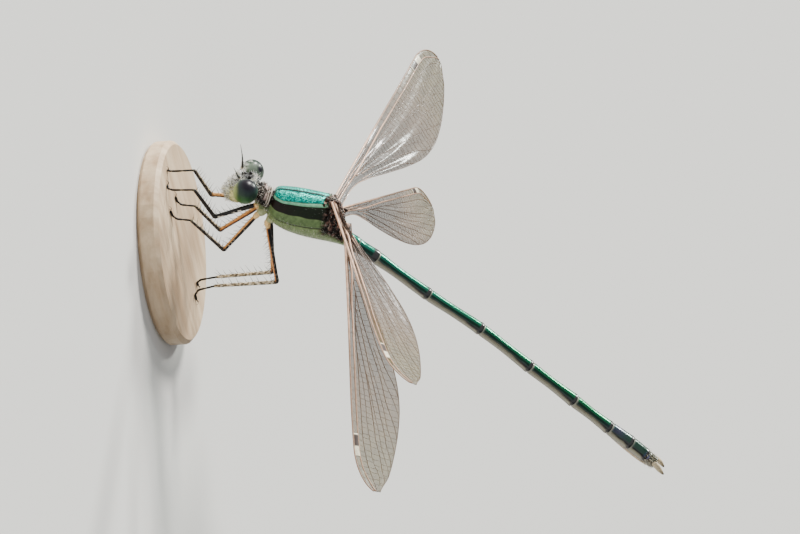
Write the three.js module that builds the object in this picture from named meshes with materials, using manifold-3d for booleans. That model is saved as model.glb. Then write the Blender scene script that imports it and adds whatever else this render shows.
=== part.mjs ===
// A female spreadwing damselfly at life size, standing on a small round base, in millimetres, +Z up.
// The insect is laid out level, x forwards, y to its left, z to its back, and is then pitched head down
// as one group, so that its feet stand on the base.

import * as THREE from 'three';
import { mergeVertices } from 'three/addons/utils/BufferGeometryUtils.js';
import Module from 'manifold-3d';

const wasm = await Module();
wasm.setup();

// Driving dimensions, in millimetres and degrees

const GAP = 0.3;                       // between pieces that touch
const PITCH = 55.7;                    // how far the body points head down
const SOLE_LEVEL = -11.6;              // the ground, measured along the pitched up direction

const BASE = { radius: 7.4, height: 1.6, bevel: 0.3, ahead: 0.5, sides: 48 };

// The head is rolled about the body's length, swung to its right and moved, all about the neck
const HEAD_TURN = { neck: [7.60, 0, 0.75], roll: 8, swing: -5, shift: [-0.03, 0.16, -0.19] };

const EYE = { centre: [8.12, 1.50, 1.32], radii: [0.88, 0.87, 0.90], inner: 0.95 };

const HEAD_FORMS = [
  { name: 'cranium', centre: [7.95, 0, 1.12], radii: [0.72, 1.45, 0.80] },
  { name: 'frons', centre: [8.62, 0, 1.00], radii: [0.66, 1.00, 0.82] },
  { name: 'clypeus and labrum', centre: [9.02, 0, 0.36], radii: [0.56, 0.80, 0.62] },
  { name: 'mandibles and labium', centre: [8.45, 0, -0.05], radii: [0.78, 0.68, 0.62] },
  { name: 'nape', centre: [7.45, 0, 0.75], radii: [0.45, 0.75, 0.60] },
];
const MOUTH_LINE = { centre: [9.06, 0, -0.18], radii: [0.36, 0.66, 0.06] };
const OCELLUS = { front: [8.62, 0, 1.78], rear: [8.22, 0.30, 1.86], radius: 0.15 };

const ANTENNA = {
  left: { root: [8.87, 0.53, 1.45], elbow: [9.22, 0.94, 2.00], tip: [9.75, 1.30, 2.75] },
  right: { root: [8.70, -0.65, 1.32], elbow: [9.14, -0.74, 2.26], tip: [9.73, -0.90, 3.22] },
  rootRadius: 0.25, elbowRadius: 0.2, tipRadius: 0.08,
};

// Body stations from front to rear: top and bottom as [x, z], and half the width
const PROTHORAX_STATIONS = [
  { top: [7.35, 1.02], bottom: [7.22, 0.10], half: 0.50 },
  { top: [7.10, 1.28], bottom: [6.95, -0.25], half: 0.80 },
  { top: [6.82, 1.34], bottom: [6.62, -0.45], half: 0.94 },
  { top: [6.48, 1.20], bottom: [6.28, -0.55], half: 0.92 },
  { top: [6.12, 1.10], bottom: [5.95, -0.60], half: 0.70 },
];
const THORAX_STATIONS = [
  { top: [6.10, 1.10], bottom: [5.98, -0.45], half: 0.74 },
  { top: [5.92, 1.50], bottom: [5.70, -0.92], half: 1.08 },
  { top: [5.40, 1.74], bottom: [5.10, -1.18], half: 1.34 },
  { top: [4.50, 2.06], bottom: [4.10, -1.32], half: 1.48 },
  { top: [3.50, 2.34], bottom: [3.00, -1.24], half: 1.52 },
  { top: [2.60, 2.56], bottom: [1.95, -1.06], half: 1.46 },
  { top: [1.85, 2.52], bottom: [1.20, -0.92], half: 1.30 },
  { top: [1.15, 2.02], bottom: [0.60, -0.84], half: 1.08 },
  { top: [0.55, 1.25], bottom: [0.20, -0.80], half: 0.84 },
  { top: [0.05, 0.48], bottom: [-0.15, -0.76], half: 0.62 },
];
const BODY_SIDES = 24;

// Abdomen: the rear end of each segment as [x, z], and half its height there and at its waist
const ABDOMEN_START = [-0.15, -0.20];
const ABDOMEN_SEGMENTS = [
  { end: [-1.05, -0.42], front: 0.60, waist: 0.56, rear: 0.56 },
  { end: [-2.84, -0.80], front: 0.56, waist: 0.50, rear: 0.50 },
  { end: [-7.56, -2.11], front: 0.50, waist: 0.38, rear: 0.46 },
  { end: [-12.35, -3.23], front: 0.45, waist: 0.38, rear: 0.46 },
  { end: [-17.02, -4.73], front: 0.45, waist: 0.39, rear: 0.47 },
  { end: [-21.29, -6.08], front: 0.46, waist: 0.41, rear: 0.50 },
  { end: [-24.72, -7.18], front: 0.48, waist: 0.44, rear: 0.50 },
  { end: [-26.75, -7.78], front: 0.50, waist: 0.54, rear: 0.55 },
  { end: [-28.30, -8.30], front: 0.54, waist: 0.53, rear: 0.50 },
  { end: [-29.25, -8.64], front: 0.48, waist: 0.46, rear: 0.42 },
];
const ABDOMEN_SIDES = 14;
// The keel of pale valves under the last segments: how far below each segment's end, and half its width
const OVIPOSITOR = { drop: 0.76, radii: [0.10, 0.30, 0.34, 0.15], pastEnd: 0.35 };
const CERCUS = { root: [-29.42, 0.42, -8.56], middle: [-29.95, 0.60, -8.86], tip: [-30.6, 0.62, -9.28], radius: 0.25, tipRadius: 0.10 };

// Wings: how each stands, and its bend (parabolic), twist (along the span), curl (of the outer part)
// and camber (across the chord); width widens or narrows the common outline
const WINGS = [
  { name: 'forewing_left', side: 1, length: 20.6, width: 0.81, base: [2.04, 0.61, 2.58],
    sweep: 15.6, dihedral: 9.2, pitch: 6.7, bend: -0.031, twist: -0.058, curl: 0.24, camber: 0.11 },
  { name: 'hindwing_left', side: 1, length: 20.0, width: 0.94, base: [0.56, 0.70, 1.31],
    sweep: 20.6, dihedral: -22.8, pitch: 6.7, bend: -0.030, twist: -0.053, curl: 0.20, camber: 0.26 },
  { name: 'forewing_right', side: -1, length: 20.6, width: 1.10, base: [1.81, -0.94, 2.05],
    sweep: 11.6, dihedral: 3.9, pitch: 9.2, bend: 0.097, twist: -0.431, curl: -0.39, camber: -0.76 },
  { name: 'hindwing_right', side: -1, length: 20.0, width: 0.98, base: [0.91, -1.10, 1.34],
    sweep: 25.8, dihedral: -23.8, pitch: 32.6, bend: 0.078, twist: 0.049, curl: -0.33, camber: 0.10 },
];
const WING = { half: 0.25, ridge: 0.13, columns: 30, tipEnd: 0.994, curlStart: 0.6 };
// The trailing edge as [share of the length, share of the length behind the leading edge]
const TRAILING_EDGE = [
  [0, 0.032], [0.10, 0.034], [0.18, 0.058], [0.30, 0.112], [0.42, 0.163], [0.55, 0.205],
  [0.66, 0.217], [0.76, 0.205], [0.85, 0.180], [0.93, 0.148], [1.0, 0.100],
];
const LEADING_TIP = { start: 0.84, drop: 0.100 };
// Chord stations from leading to trailing edge, true where a main vein stands up as a ridge
const CHORD_STATIONS = [
  [0, true], [0.05, false], [0.10, true], [0.18, false], [0.26, true], [0.34, false], [0.42, true],
  [0.50, false], [0.58, true], [0.66, false], [0.74, true], [0.87, false], [1, true],
];
const PTEROSTIGMA = { from: 0.79, to: 0.87, chord: 0.12, rise: 0.12 };

// Legs: hip, trochanter and knee on the body, then ankle as [along the ground, y, height] and toe as [along, y]
const LEGS = [
  { name: 'fore_left', hip: [6.50, 0.30, -0.10], trochanter: [7.02, 0.62, -0.85],
    knee: [9.17, 1.00, -2.25], ankle: [5.75, 0.85, 1.75], toe: [6.05, 0.45], thick: 0.27 },
  { name: 'fore_right', hip: [6.50, -0.30, -0.10], trochanter: [7.15, -0.66, -0.70],
    knee: [9.80, -1.05, -2.10], ankle: [6.20, -0.90, 1.60], toe: [6.60, -0.65], thick: 0.27 },
  { name: 'mid_left', hip: [5.95, 0.45, -0.50], trochanter: [6.25, 0.86, -1.40],
    knee: [7.42, 1.10, -4.65], ankle: [3.16, 1.00, 1.00], toe: [4.35, 1.25], thick: 0.28 },
  { name: 'mid_right', hip: [5.95, -0.45, -0.50], trochanter: [6.25, -0.86, -1.35],
    knee: [7.95, -1.10, -4.85], ankle: [2.90, -1.00, 1.00], toe: [4.00, -0.85], thick: 0.28 },
  { name: 'hind_left', hip: [4.95, 0.45, -0.70], trochanter: [5.25, 0.80, -1.80],
    knee: [2.72, 0.62, -5.90], ankle: [-3.28, 0.60, 1.40], toe: [-4.50, 0.55], thick: 0.29 },
  { name: 'hind_right', hip: [4.95, -0.45, -0.70], trochanter: [5.25, -0.80, -1.80],
    knee: [3.10, -0.62, -6.19], ankle: [-3.40, -0.60, 1.40], toe: [-4.20, -0.75], thick: 0.29 },
];
const COXA_RADIUS = 0.40;
const FOOT = { pad: 0.35, arch: 0.25, ankleRadius: 0.25, ballRadius: 0.24, toeRadius: 0.17 };
const SPINES = { perLength: 4, radius: 0.17, length: 0.62, spread: 0.6, sunk: 0.12, from: 0.25, to: 0.88, seed: 7 };
const LEG_SIDES = 8;

const COLOURS = {
  eye: { color: 0x39403a, roughness: 0.25 },
  head: { color: 0x9aa09a, roughness: 0.8 },
  prothorax: { color: 0x6f6a55, roughness: 0.7 },
  thorax: { color: 0x2f9f92, roughness: 0.35, metalness: 0.5 },
  abdomen: { color: 0x3f7a55, roughness: 0.35, metalness: 0.5 },
  ovipositor: { color: 0xb39a6b, roughness: 0.6 },
  wing: { color: 0xcfc8b0, roughness: 0.3, transparent: true, opacity: 0.6 },
  leg: { color: 0x2b2119, roughness: 0.5 },
  stand: { color: 0xc9c8c3, roughness: 0.8 },
};

// Directions of the ground, seen from the level body
const PITCH_RADIANS = THREE.MathUtils.degToRad(PITCH);
const GROUND_AHEAD = new THREE.Vector3(Math.cos(PITCH_RADIANS), 0, Math.sin(PITCH_RADIANS));
const GROUND_UP = new THREE.Vector3(-Math.sin(PITCH_RADIANS), 0, Math.cos(PITCH_RADIANS));

const point = ([x, y, z]) => new THREE.Vector3(x, y, z);
const midline = ([x, z]) => new THREE.Vector3(x, 0, z);

function onGround(along, y, height) {
  const place = GROUND_AHEAD.clone().multiplyScalar(along);
  place.addScaledVector(GROUND_UP, SOLE_LEVEL + height);
  place.y += y;
  return place;
}

// Closed meshes and joins

function meshSolid(positions, faces) {
  let volume = 0;
  for (let f = 0; f < faces.length; f += 3) {
    const [a, b, c] = [faces[f], faces[f + 1], faces[f + 2]].map((i) => positions[i]);
    volume += a.dot(b.clone().cross(c));
  }
  const triVerts = Uint32Array.from(faces);
  if (volume < 0) {
    for (let f = 0; f < triVerts.length; f += 3) {
      [triVerts[f + 1], triVerts[f + 2]] = [triVerts[f + 2], triVerts[f + 1]];
    }
  }
  const vertProperties = Float32Array.from(positions.flatMap((p) => [p.x, p.y, p.z]));
  return new wasm.Manifold(new wasm.Mesh({ numProp: 3, vertProperties, triVerts }));
}

function geometrySolid(geometry) {
  geometry.deleteAttribute('normal');
  geometry.deleteAttribute('uv');
  const merged = mergeVertices(geometry, 1e-5);
  const place = merged.getAttribute('position');
  const positions = [];
  for (let i = 0; i < place.count; i += 1) {
    positions.push(new THREE.Vector3().fromBufferAttribute(place, i));
  }
  const index = merged.getIndex().array;
  const faces = [];
  for (let f = 0; f < index.length; f += 3) {
    const [a, b, c] = [index[f], index[f + 1], index[f + 2]];
    if (a !== b && b !== c && c !== a) {
      faces.push(a, b, c);
    }
  }
  return meshSolid(positions, faces);
}

function largest(solid) {
  const pieces = solid.decompose();
  return pieces.reduce((best, piece) => (piece.volume() > best.volume() ? piece : best));
}

const join = (solids) => solids.reduce((whole, solid) => whole.add(solid));

// Rings of equal count, one after the other, closed by a fan at each end
function loft(rings) {
  const count = rings[0].length;
  const positions = rings.flat();
  const faces = [];
  for (let r = 0; r + 1 < rings.length; r += 1) {
    for (let i = 0; i < count; i += 1) {
      const j = (i + 1) % count;
      const [a, b, c, d] = [r * count + i, r * count + j, (r + 1) * count + j, (r + 1) * count + i];
      faces.push(a, b, c, a, c, d);
    }
  }
  for (const [ring, start, flip] of [[rings[0], 0, true], [rings.at(-1), (rings.length - 1) * count, false]]) {
    const centre = ring.reduce((sum, p) => sum.add(p), new THREE.Vector3()).divideScalar(count);
    const middle = positions.push(centre) - 1;
    for (let i = 0; i < count; i += 1) {
      const [a, b] = [start + i, start + ((i + 1) % count)];
      faces.push(...(flip ? [b, a, middle] : [a, b, middle]));
    }
  }
  return meshSolid(positions, faces);
}

// A tapered tube along a path, its section turned so that a flat faces straight down
function tube(path, radii, sides, up = new THREE.Vector3(0, 0, 1)) {
  const rings = path.map((place, i) => {
    const before = path[Math.max(i - 1, 0)];
    const after = path[Math.min(i + 1, path.length - 1)];
    const along = after.clone().sub(before).normalize();
    const across = along.clone().cross(up).normalize();
    const raised = across.clone().cross(along);
    return Array.from({ length: sides }, (_, k) => {
      const turn = (2 * Math.PI * (k + 0.5)) / sides;
      return place.clone()
        .addScaledVector(raised, radii[i] * Math.cos(turn))
        .addScaledVector(across, radii[i] * Math.sin(turn));
    });
  });
  return loft(rings);
}

function ellipsoid(centre, radii, grow = 0, around = 20, down = 12) {
  const geometry = new THREE.SphereGeometry(1, around, down);
  geometry.scale(...radii.map((r) => r + grow));
  geometry.translate(...centre);
  return geometrySolid(geometry);
}

function block(low, high) {
  const geometry = new THREE.BoxGeometry(high[0] - low[0], high[1] - low[1], high[2] - low[2]);
  geometry.translate((low[0] + high[0]) / 2, (low[1] + high[1]) / 2, (low[2] + high[2]) / 2);
  return geometrySolid(geometry);
}

// A body length through its stations; grow moves its skin outwards by that much all round
function bodyLength(stations, grow = 0) {
  const rings = stations.map(({ top, bottom, half }, i) => {
    const high = midline(top);
    const low = midline(bottom);
    const centre = high.clone().add(low).multiplyScalar(0.5);
    const rise = high.clone().sub(low).multiplyScalar(0.5);
    const reach = rise.length();
    rise.normalize();
    const end = i === 0 ? 1 : i === stations.length - 1 ? -1 : 0;
    centre.x += end * grow;
    return Array.from({ length: BODY_SIDES }, (_, k) => {
      const turn = (2 * Math.PI * k) / BODY_SIDES;
      return centre.clone()
        .addScaledVector(rise, (reach + grow) * Math.cos(turn))
        .add(new THREE.Vector3(0, (half + grow) * Math.sin(turn), 0));
    });
  });
  return loft(rings);
}

// Head, eyes and antennae

const mirrored = ([x, y, z], side) => [x, side * y, z];

function eye(side, grow = 0) {
  const ball = ellipsoid(mirrored(EYE.centre, side), EYE.radii, grow, 24, 16);
  const flat = side * (EYE.inner - grow);
  const far = side * -5;
  return ball.subtract(block([5, Math.min(flat, far), -3], [12, Math.max(flat, far), 5]));
}

function headForms(grow) {
  const forms = HEAD_FORMS.map((form) => ellipsoid(form.centre, form.radii, grow));
  return join(forms);
}

function head() {
  const ocelli = [OCELLUS.front, OCELLUS.rear, mirrored(OCELLUS.rear, -1)];
  const bumps = ocelli.map((place) => ellipsoid(place, [OCELLUS.radius, OCELLUS.radius, OCELLUS.radius], 0, 10, 6));
  const whole = join([headForms(0), ...bumps]).subtract(ellipsoid(MOUTH_LINE.centre, MOUTH_LINE.radii));
  return largest(whole.subtract(eye(1, GAP)).subtract(eye(-1, GAP)));
}

function headTurned(solid) {
  const { neck, roll, swing, shift } = HEAD_TURN;
  const aside = neck.map((value) => -value);
  const back = neck.map((value, axis) => value + shift[axis]);
  return solid.translate(aside).rotate([roll, 0, swing]).translate(back);
}

function antenna(place, skull) {
  const path = [place.root, place.elbow, place.tip].map(point);
  const feeler = tube(path, [ANTENNA.rootRadius, ANTENNA.elbowRadius, ANTENNA.tipRadius], 8);
  return largest(feeler.subtract(skull));
}

// Wings

function sample(table, share) {
  let i = 0;
  while (i + 2 < table.length && share > table[i + 1][0]) {
    i += 1;
  }
  const [a, b] = [table[i], table[i + 1]];
  const t = (share - a[0]) / (b[0] - a[0]);
  return a[1] + (b[1] - a[1]) * t;
}

function leadingEdge(share) {
  const t = Math.max(0, (share - LEADING_TIP.start) / (1 - LEADING_TIP.start));
  return LEADING_TIP.drop * (1 - Math.sqrt(1 - t * t));
}

function wing(w, thoraxSkin) {
  const [sweep, dihedral, pitch] = [w.sweep, w.dihedral, w.pitch].map(THREE.MathUtils.degToRad);
  const span = new THREE.Vector3(
    -Math.sin(sweep) * Math.cos(dihedral), w.side * Math.cos(sweep) * Math.cos(dihedral), Math.sin(dihedral));
  const level = new THREE.Vector3(-Math.cos(sweep), -w.side * Math.sin(sweep), 0);
  const upright = span.clone().cross(level).multiplyScalar(w.side);
  const chord = level.clone().multiplyScalar(Math.cos(pitch)).addScaledVector(upright, -Math.sin(pitch));
  const normal = upright.clone().multiplyScalar(Math.cos(pitch)).addScaledVector(level, Math.sin(pitch));
  const base = point(w.base);

  const columns = WING.columns;
  const rows = CHORD_STATIONS.length;
  const positions = [];
  for (const face of [1, -1]) {
    for (let c = 0; c < columns; c += 1) {
      const t = c / (columns - 1);
      const share = -0.03 + (WING.tipEnd + 0.03) * (1 - (1 - t) ** 1.25);
      const front = leadingEdge(Math.max(share, 0));
      const rear = sample(TRAILING_EDGE, Math.max(share, 0));
      for (const [across, vein] of CHORD_STATIONS) {
        const y = (front + (rear - front) * across) * w.length * w.width;
        const stigma = share > PTEROSTIGMA.from && share < PTEROSTIGMA.to && across < PTEROSTIGMA.chord;
        const rise = (vein ? WING.ridge : 0) + (stigma ? PTEROSTIGMA.rise : 0);
        const bent = (w.bend * share ** 2 + w.curl * Math.max(0, share - WING.curlStart) ** 2) * w.length;
        const turned = w.twist * share * y + (w.camber * y ** 2) / w.length;
        const lift = bent + turned + face * (WING.half + rise);
        positions.push(base.clone()
          .addScaledVector(span, share * w.length)
          .addScaledVector(chord, y)
          .addScaledVector(normal, lift));
      }
    }
  }
  const faces = [];
  const under = columns * rows;
  const quad = (a, b, c, d) => faces.push(a, b, c, a, c, d);
  for (let c = 0; c + 1 < columns; c += 1) {
    for (let r = 0; r + 1 < rows; r += 1) {
      const [p, q, s, t] = [c * rows + r, (c + 1) * rows + r, (c + 1) * rows + r + 1, c * rows + r + 1];
      faces.push(p, q, s, p, s, t);
      faces.push(under + p, under + s, under + q, under + p, under + t, under + s);
    }
    for (const r of [0, rows - 1]) {
      const [p, q] = [c * rows + r, (c + 1) * rows + r];
      if (r === 0) {
        quad(q, p, under + p, under + q);
      } else {
        quad(p, q, under + q, under + p);
      }
    }
  }
  for (let r = 0; r + 1 < rows; r += 1) {
    quad(r, r + 1, under + r + 1, under + r);
    const p = (columns - 1) * rows + r;
    quad(p + 1, p, under + p, under + p + 1);
  }
  return largest(meshSolid(positions, faces).subtract(thoraxSkin));
}

// Legs

let drawn = SPINES.seed;
function random() {
  drawn = (drawn * 16807) % 2147483647;
  return drawn / 2147483647;
}

function start(from, to, distance) {
  return from.clone().addScaledVector(to.clone().sub(from).normalize(), distance);
}

// How far past a joint the next length starts, so that it clears the end of the last by the gap
function clearance(before, joint, after, radius) {
  const bend = joint.clone().sub(before).angleTo(after.clone().sub(joint));
  return GAP + radius * Math.sin(Math.min(bend, Math.PI / 2));
}

// Spines in two rows along the inner side of a length, the side that faces the next joint, leaning to its end
function spines(from, to, inside, thickness) {
  const along = to.clone().sub(from).normalize();
  const inwards = inside.clone().sub(to);
  inwards.addScaledVector(along, -inwards.dot(along)).normalize();
  const sideways = along.clone().cross(inwards);
  const { perLength, radius, length, spread, sunk } = SPINES;
  return Array.from({ length: perLength }, (_, i) => {
    const share = SPINES.from + ((SPINES.to - SPINES.from) * i) / (perLength - 1);
    const row = i % 2 === 0 ? 1 : -1;
    const out = inwards.clone().addScaledVector(sideways, row * spread * (0.85 + 0.3 * random())).normalize();
    const lean = out.clone().addScaledVector(along, 0.45 + 0.2 * random()).normalize();
    const tall = length * (0.85 + 0.3 * random()) + sunk;
    const cone = new THREE.ConeGeometry(radius, tall, 4);
    cone.translate(0, tall / 2, 0);
    cone.applyQuaternion(new THREE.Quaternion().setFromUnitVectors(new THREE.Vector3(0, 1, 0), lean));
    const root = from.clone().lerp(to, share).addScaledVector(out, thickness - sunk);
    cone.translate(root.x, root.y, root.z);
    return geometrySolid(cone);
  });
}

function leg(l, skins) {
  const [hip, trochanter, knee] = [l.hip, l.trochanter, l.knee].map(point);
  const ankle = onGround(...l.ankle);

  const thigh = start(trochanter, knee, 0.35);
  const swell = trochanter.clone().lerp(knee, 0.45);
  const femurPath = [hip, trochanter, thigh, swell, knee];
  const femurRadii = [COXA_RADIUS, COXA_RADIUS * 0.85, l.thick, l.thick, 0.25];
  const femur = tube(femurPath, femurRadii, LEG_SIDES, GROUND_UP);

  const shinStart = start(knee, ankle, clearance(trochanter, knee, ankle, 0.25));
  const shinMiddle = shinStart.clone().lerp(ankle, 0.5);
  const tibia = tube([shinStart, shinMiddle, ankle], [0.25, 0.25, 0.25], LEG_SIDES, GROUND_AHEAD);

  // The foot comes down in one curve and runs out level on its pad
  const flat = Math.cos(Math.PI / LEG_SIDES);
  const toe = onGround(l.toe[0], l.toe[1], FOOT.toeRadius * flat);
  const run = toe.clone().sub(onGround(l.ankle[0], l.ankle[1], FOOT.toeRadius * flat)).normalize();
  const ball = toe.clone().addScaledVector(run, -FOOT.pad);
  ball.addScaledVector(GROUND_UP, (FOOT.ballRadius - FOOT.toeRadius) * flat);
  const arch = ball.clone().addScaledVector(run, -FOOT.arch);
  const footStart = start(ankle, arch, clearance(knee, ankle, arch, 0.25));
  const fall = new THREE.QuadraticBezierCurve3(footStart, arch, ball);
  const footPath = [...[0, 0.4, 0.75, 1].map((t) => fall.getPoint(t)), toe];
  const { ankleRadius, ballRadius, toeRadius } = FOOT;
  const tarsus = tube(footPath, [ankleRadius, ankleRadius, ballRadius, ballRadius, toeRadius], LEG_SIDES, GROUND_UP);

  const thorns = spines(trochanter, knee, ankle, l.thick);
  const shinThorns = spines(shinStart, ankle, trochanter, 0.25);
  const cutFemur = skins.reduce((piece, skin) => piece.subtract(skin), join([femur, ...thorns]));
  return { femur: largest(cutFemur), tibia: largest(join([tibia, ...shinThorns])), tarsus };
}

// Abdomen

function abdomenSegment(index, grow = 0) {
  const segment = ABDOMEN_SEGMENTS[index];
  const from = midline(index === 0 ? ABDOMEN_START : ABDOMEN_SEGMENTS[index - 1].end);
  const to = midline(segment.end);
  const first = start(from, to, GAP / 2 - grow);
  const last = start(to, from, GAP / 2 - grow);
  const shares = [0, 0.12, 0.5, 0.85, 1];
  const radii = [segment.front * 0.92, segment.front, segment.waist, segment.rear, segment.rear * 0.95];
  const path = shares.map((share) => first.clone().lerp(last, share));
  return tube(path, radii.map((radius) => radius + grow), ABDOMEN_SIDES);
}

function ovipositor() {
  const under = new THREE.Vector3(0, 0, -OVIPOSITOR.drop);
  const ends = ABDOMEN_SEGMENTS.slice(6).map((segment) => midline(segment.end).add(under));
  ends[3].x -= OVIPOSITOR.pastEnd;
  const keel = tube(ends, OVIPOSITOR.radii, 10);
  return largest([6, 7, 8, 9].reduce((piece, index) => piece.subtract(abdomenSegment(index, GAP)), keel));
}

function cercus(side) {
  const path = [CERCUS.root, CERCUS.middle, CERCUS.tip].map((place) => point(mirrored(place, side)));
  return tube(path, [CERCUS.radius, CERCUS.radius, CERCUS.tipRadius], 8);
}

// The base

function base() {
  const { radius, height, bevel, sides } = BASE;
  const profile = [[0, 0], [radius - bevel, 0], [radius, bevel], [radius, height - bevel], [radius - bevel, height], [0, height]];
  const geometry = new THREE.LatheGeometry(profile.map(([r, z]) => new THREE.Vector2(r, z)), sides);
  geometry.rotateX(Math.PI / 2);
  return geometrySolid(geometry);
}

// Assembly

function named(name, solid, colour) {
  const mesh = solid.getMesh();
  const geometry = new THREE.BufferGeometry();
  geometry.setAttribute('position', new THREE.BufferAttribute(new Float32Array(mesh.vertProperties), 3));
  geometry.setIndex(new THREE.BufferAttribute(new Uint32Array(mesh.triVerts), 1));
  geometry.computeVertexNormals();
  const piece = new THREE.Mesh(geometry, new THREE.MeshStandardMaterial(COLOURS[colour]));
  piece.name = name;
  return piece;
}

const insect = new THREE.Group();
insect.rotation.y = PITCH_RADIANS;
insect.position.set(-BASE.ahead, 0, BASE.height + GAP - SOLE_LEVEL);

const thoraxSkin = bodyLength(THORAX_STATIONS, GAP);
const headSkin = headTurned(headForms(GAP));
const prothoraxSkin = bodyLength(PROTHORAX_STATIONS, GAP);

insect.add(named('head', headTurned(head()), 'head'));
for (const [name, side] of [['left', 1], ['right', -1]]) {
  insect.add(named(`eye_${name}`, headTurned(eye(side)), 'eye'));
  insect.add(named(`antenna_${name}`, antenna(ANTENNA[name], headSkin), 'leg'));
  insect.add(named(`cercus_${name}`, cercus(side), 'ovipositor'));
}
const neck = bodyLength(PROTHORAX_STATIONS).subtract(thoraxSkin).subtract(headSkin);
insect.add(named('prothorax', largest(neck), 'prothorax'));
insect.add(named('thorax', bodyLength(THORAX_STATIONS), 'thorax'));

for (const w of WINGS) {
  insect.add(named(w.name, wing(w, thoraxSkin), 'wing'));
}
for (const l of LEGS) {
  const lengths = leg(l, [thoraxSkin, prothoraxSkin]);
  for (const [part, solid] of Object.entries(lengths)) {
    insect.add(named(`${part}_${l.name}`, solid, 'leg'));
  }
}
ABDOMEN_SEGMENTS.forEach((_, index) => {
  const segment = abdomenSegment(index);
  const solid = index === 0 ? largest(segment.subtract(thoraxSkin)) : segment;
  insect.add(named(`abdomen_s${index + 1}`, solid, 'abdomen'));
});
insect.add(named('ovipositor', ovipositor(), 'ovipositor'));

const model = new THREE.Group();
model.add(insect);
model.add(named('stand_base', base(), 'stand'));

export default model;
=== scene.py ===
import math

import bpy
import numpy as np
from mathutils import Matrix, Vector


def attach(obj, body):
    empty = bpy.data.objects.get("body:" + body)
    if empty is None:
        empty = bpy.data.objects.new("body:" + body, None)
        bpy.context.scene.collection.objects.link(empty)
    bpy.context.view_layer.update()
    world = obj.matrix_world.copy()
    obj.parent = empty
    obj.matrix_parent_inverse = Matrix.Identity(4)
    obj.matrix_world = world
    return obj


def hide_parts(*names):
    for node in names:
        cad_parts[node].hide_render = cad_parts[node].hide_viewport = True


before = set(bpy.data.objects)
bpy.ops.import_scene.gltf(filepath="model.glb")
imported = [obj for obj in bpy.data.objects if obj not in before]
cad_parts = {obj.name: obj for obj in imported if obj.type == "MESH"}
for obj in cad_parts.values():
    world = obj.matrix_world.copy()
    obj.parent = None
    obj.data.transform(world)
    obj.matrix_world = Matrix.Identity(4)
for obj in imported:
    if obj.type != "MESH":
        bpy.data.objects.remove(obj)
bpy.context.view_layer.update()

# Studio
# The model is seen from its own left and a little above, by a camera turned on its side, so that the
# picture shows the steep body nearly level. The floor is a plain grey sheet. A key lamp shines from above the
# picture and a rim lamp from behind it, and a wide soft lamp and a dim pale room fill the shadows.
MM = 0.001
CAMERA_RIGHT = np.array([-0.1703, -0.0950, 0.9812])
CAMERA_BACK = np.array([0.6069, 0.7750, 0.1808])
CAMERA_AIM = np.array([-2.964, 1.065, 17.210]) * MM
CAMERA_DISTANCE = 0.300
CAMERA_LENS = 187.65
FLOOR_HALF = 1.6
FLOOR_COLOUR = (0.62, 0.61, 0.585, 1.0)
ROOM_COLOUR = (0.93, 0.96, 1.0, 1.0)
ROOM_LIGHT = 0.26
# Direction of each lamp as seen from the model, then strength, softness in degrees and colour
LAMPS = {
    "key": ((0.53, -0.65, 0.44), 7.6, 12, (1.0, 0.98, 0.94)),
    "rim": ((0.084, -0.712, 0.699), 3.6, 9, (0.96, 1.0, 0.94)),
    "fill": ((0.62, 0.62, 0.48), 1.5, 110, (0.95, 0.98, 1.0)),
}


def unit(vectors):
    """Each vector divided by its own length."""
    return vectors / np.maximum(np.linalg.norm(vectors, axis=-1, keepdims=True), 1e-12)


def wire(tree, kind, inputs=None, **settings):
    """Adds a node with its own settings, and fills its sockets with numbers or other nodes' outputs."""
    node = tree.nodes.new(kind)
    for key, value in settings.items():
        setattr(node, key, value)
    for name, value in (inputs or {}).items():
        if isinstance(value, bpy.types.NodeSocket):
            tree.links.new(value, node.inputs[name])
        else:
            node.inputs[name].default_value = value
    return node


def new_material(name, **sockets):
    """An empty node material with the given numbers on the main shader's own sockets."""
    material = bpy.data.materials.new(name)
    material.use_nodes = True
    shader = material.node_tree.nodes["Principled BSDF"]
    for key, value in sockets.items():
        shader.inputs[key.replace("_", " ")].default_value = value
    return material, material.node_tree, shader


right = unit(CAMERA_RIGHT)
back = unit(CAMERA_BACK - right * (CAMERA_BACK @ right))
up = np.cross(back, right)
camera_turn = Matrix(np.column_stack([right, up, back]).tolist()).to_4x4()
camera_data = bpy.data.cameras.new("camera")
camera_data.lens = CAMERA_LENS
camera_data.clip_start = 0.01
camera_data.clip_end = 20.0
camera = bpy.data.objects.new("camera", camera_data)
camera.matrix_world = Matrix.Translation((CAMERA_AIM + back * CAMERA_DISTANCE).tolist()) @ camera_turn
bpy.context.collection.objects.link(camera)
bpy.context.scene.camera = camera

for lamp_name, (towards, strength, softness, colour) in LAMPS.items():
    lamp_data = bpy.data.lights.new(lamp_name, "SUN")
    lamp_data.energy = strength
    lamp_data.angle = math.radians(softness)
    lamp_data.color = colour
    lamp = bpy.data.objects.new(lamp_name, lamp_data)
    lamp.rotation_mode = "QUATERNION"
    lamp.rotation_quaternion = Vector(towards).to_track_quat("Z", "Y")
    bpy.context.collection.objects.link(lamp)

room = bpy.data.worlds.new("room")
room.use_nodes = True
room.node_tree.nodes["Background"].inputs["Color"].default_value = ROOM_COLOUR
room.node_tree.nodes["Background"].inputs["Strength"].default_value = ROOM_LIGHT
bpy.context.scene.world = room

floor_mesh = bpy.data.meshes.new("floor")
floor_mesh.from_pydata(
    [(-FLOOR_HALF, -FLOOR_HALF, 0), (FLOOR_HALF, -FLOOR_HALF, 0),
     (FLOOR_HALF, FLOOR_HALF, 0), (-FLOOR_HALF, FLOOR_HALF, 0)], [], [(0, 1, 2, 3)])
floor = bpy.data.objects.new("floor", floor_mesh)
bpy.context.collection.objects.link(floor)
floor_mesh.materials.append(new_material("floor_paper", Roughness=0.9, Base_Color=FLOOR_COLOUR)[0])

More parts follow.
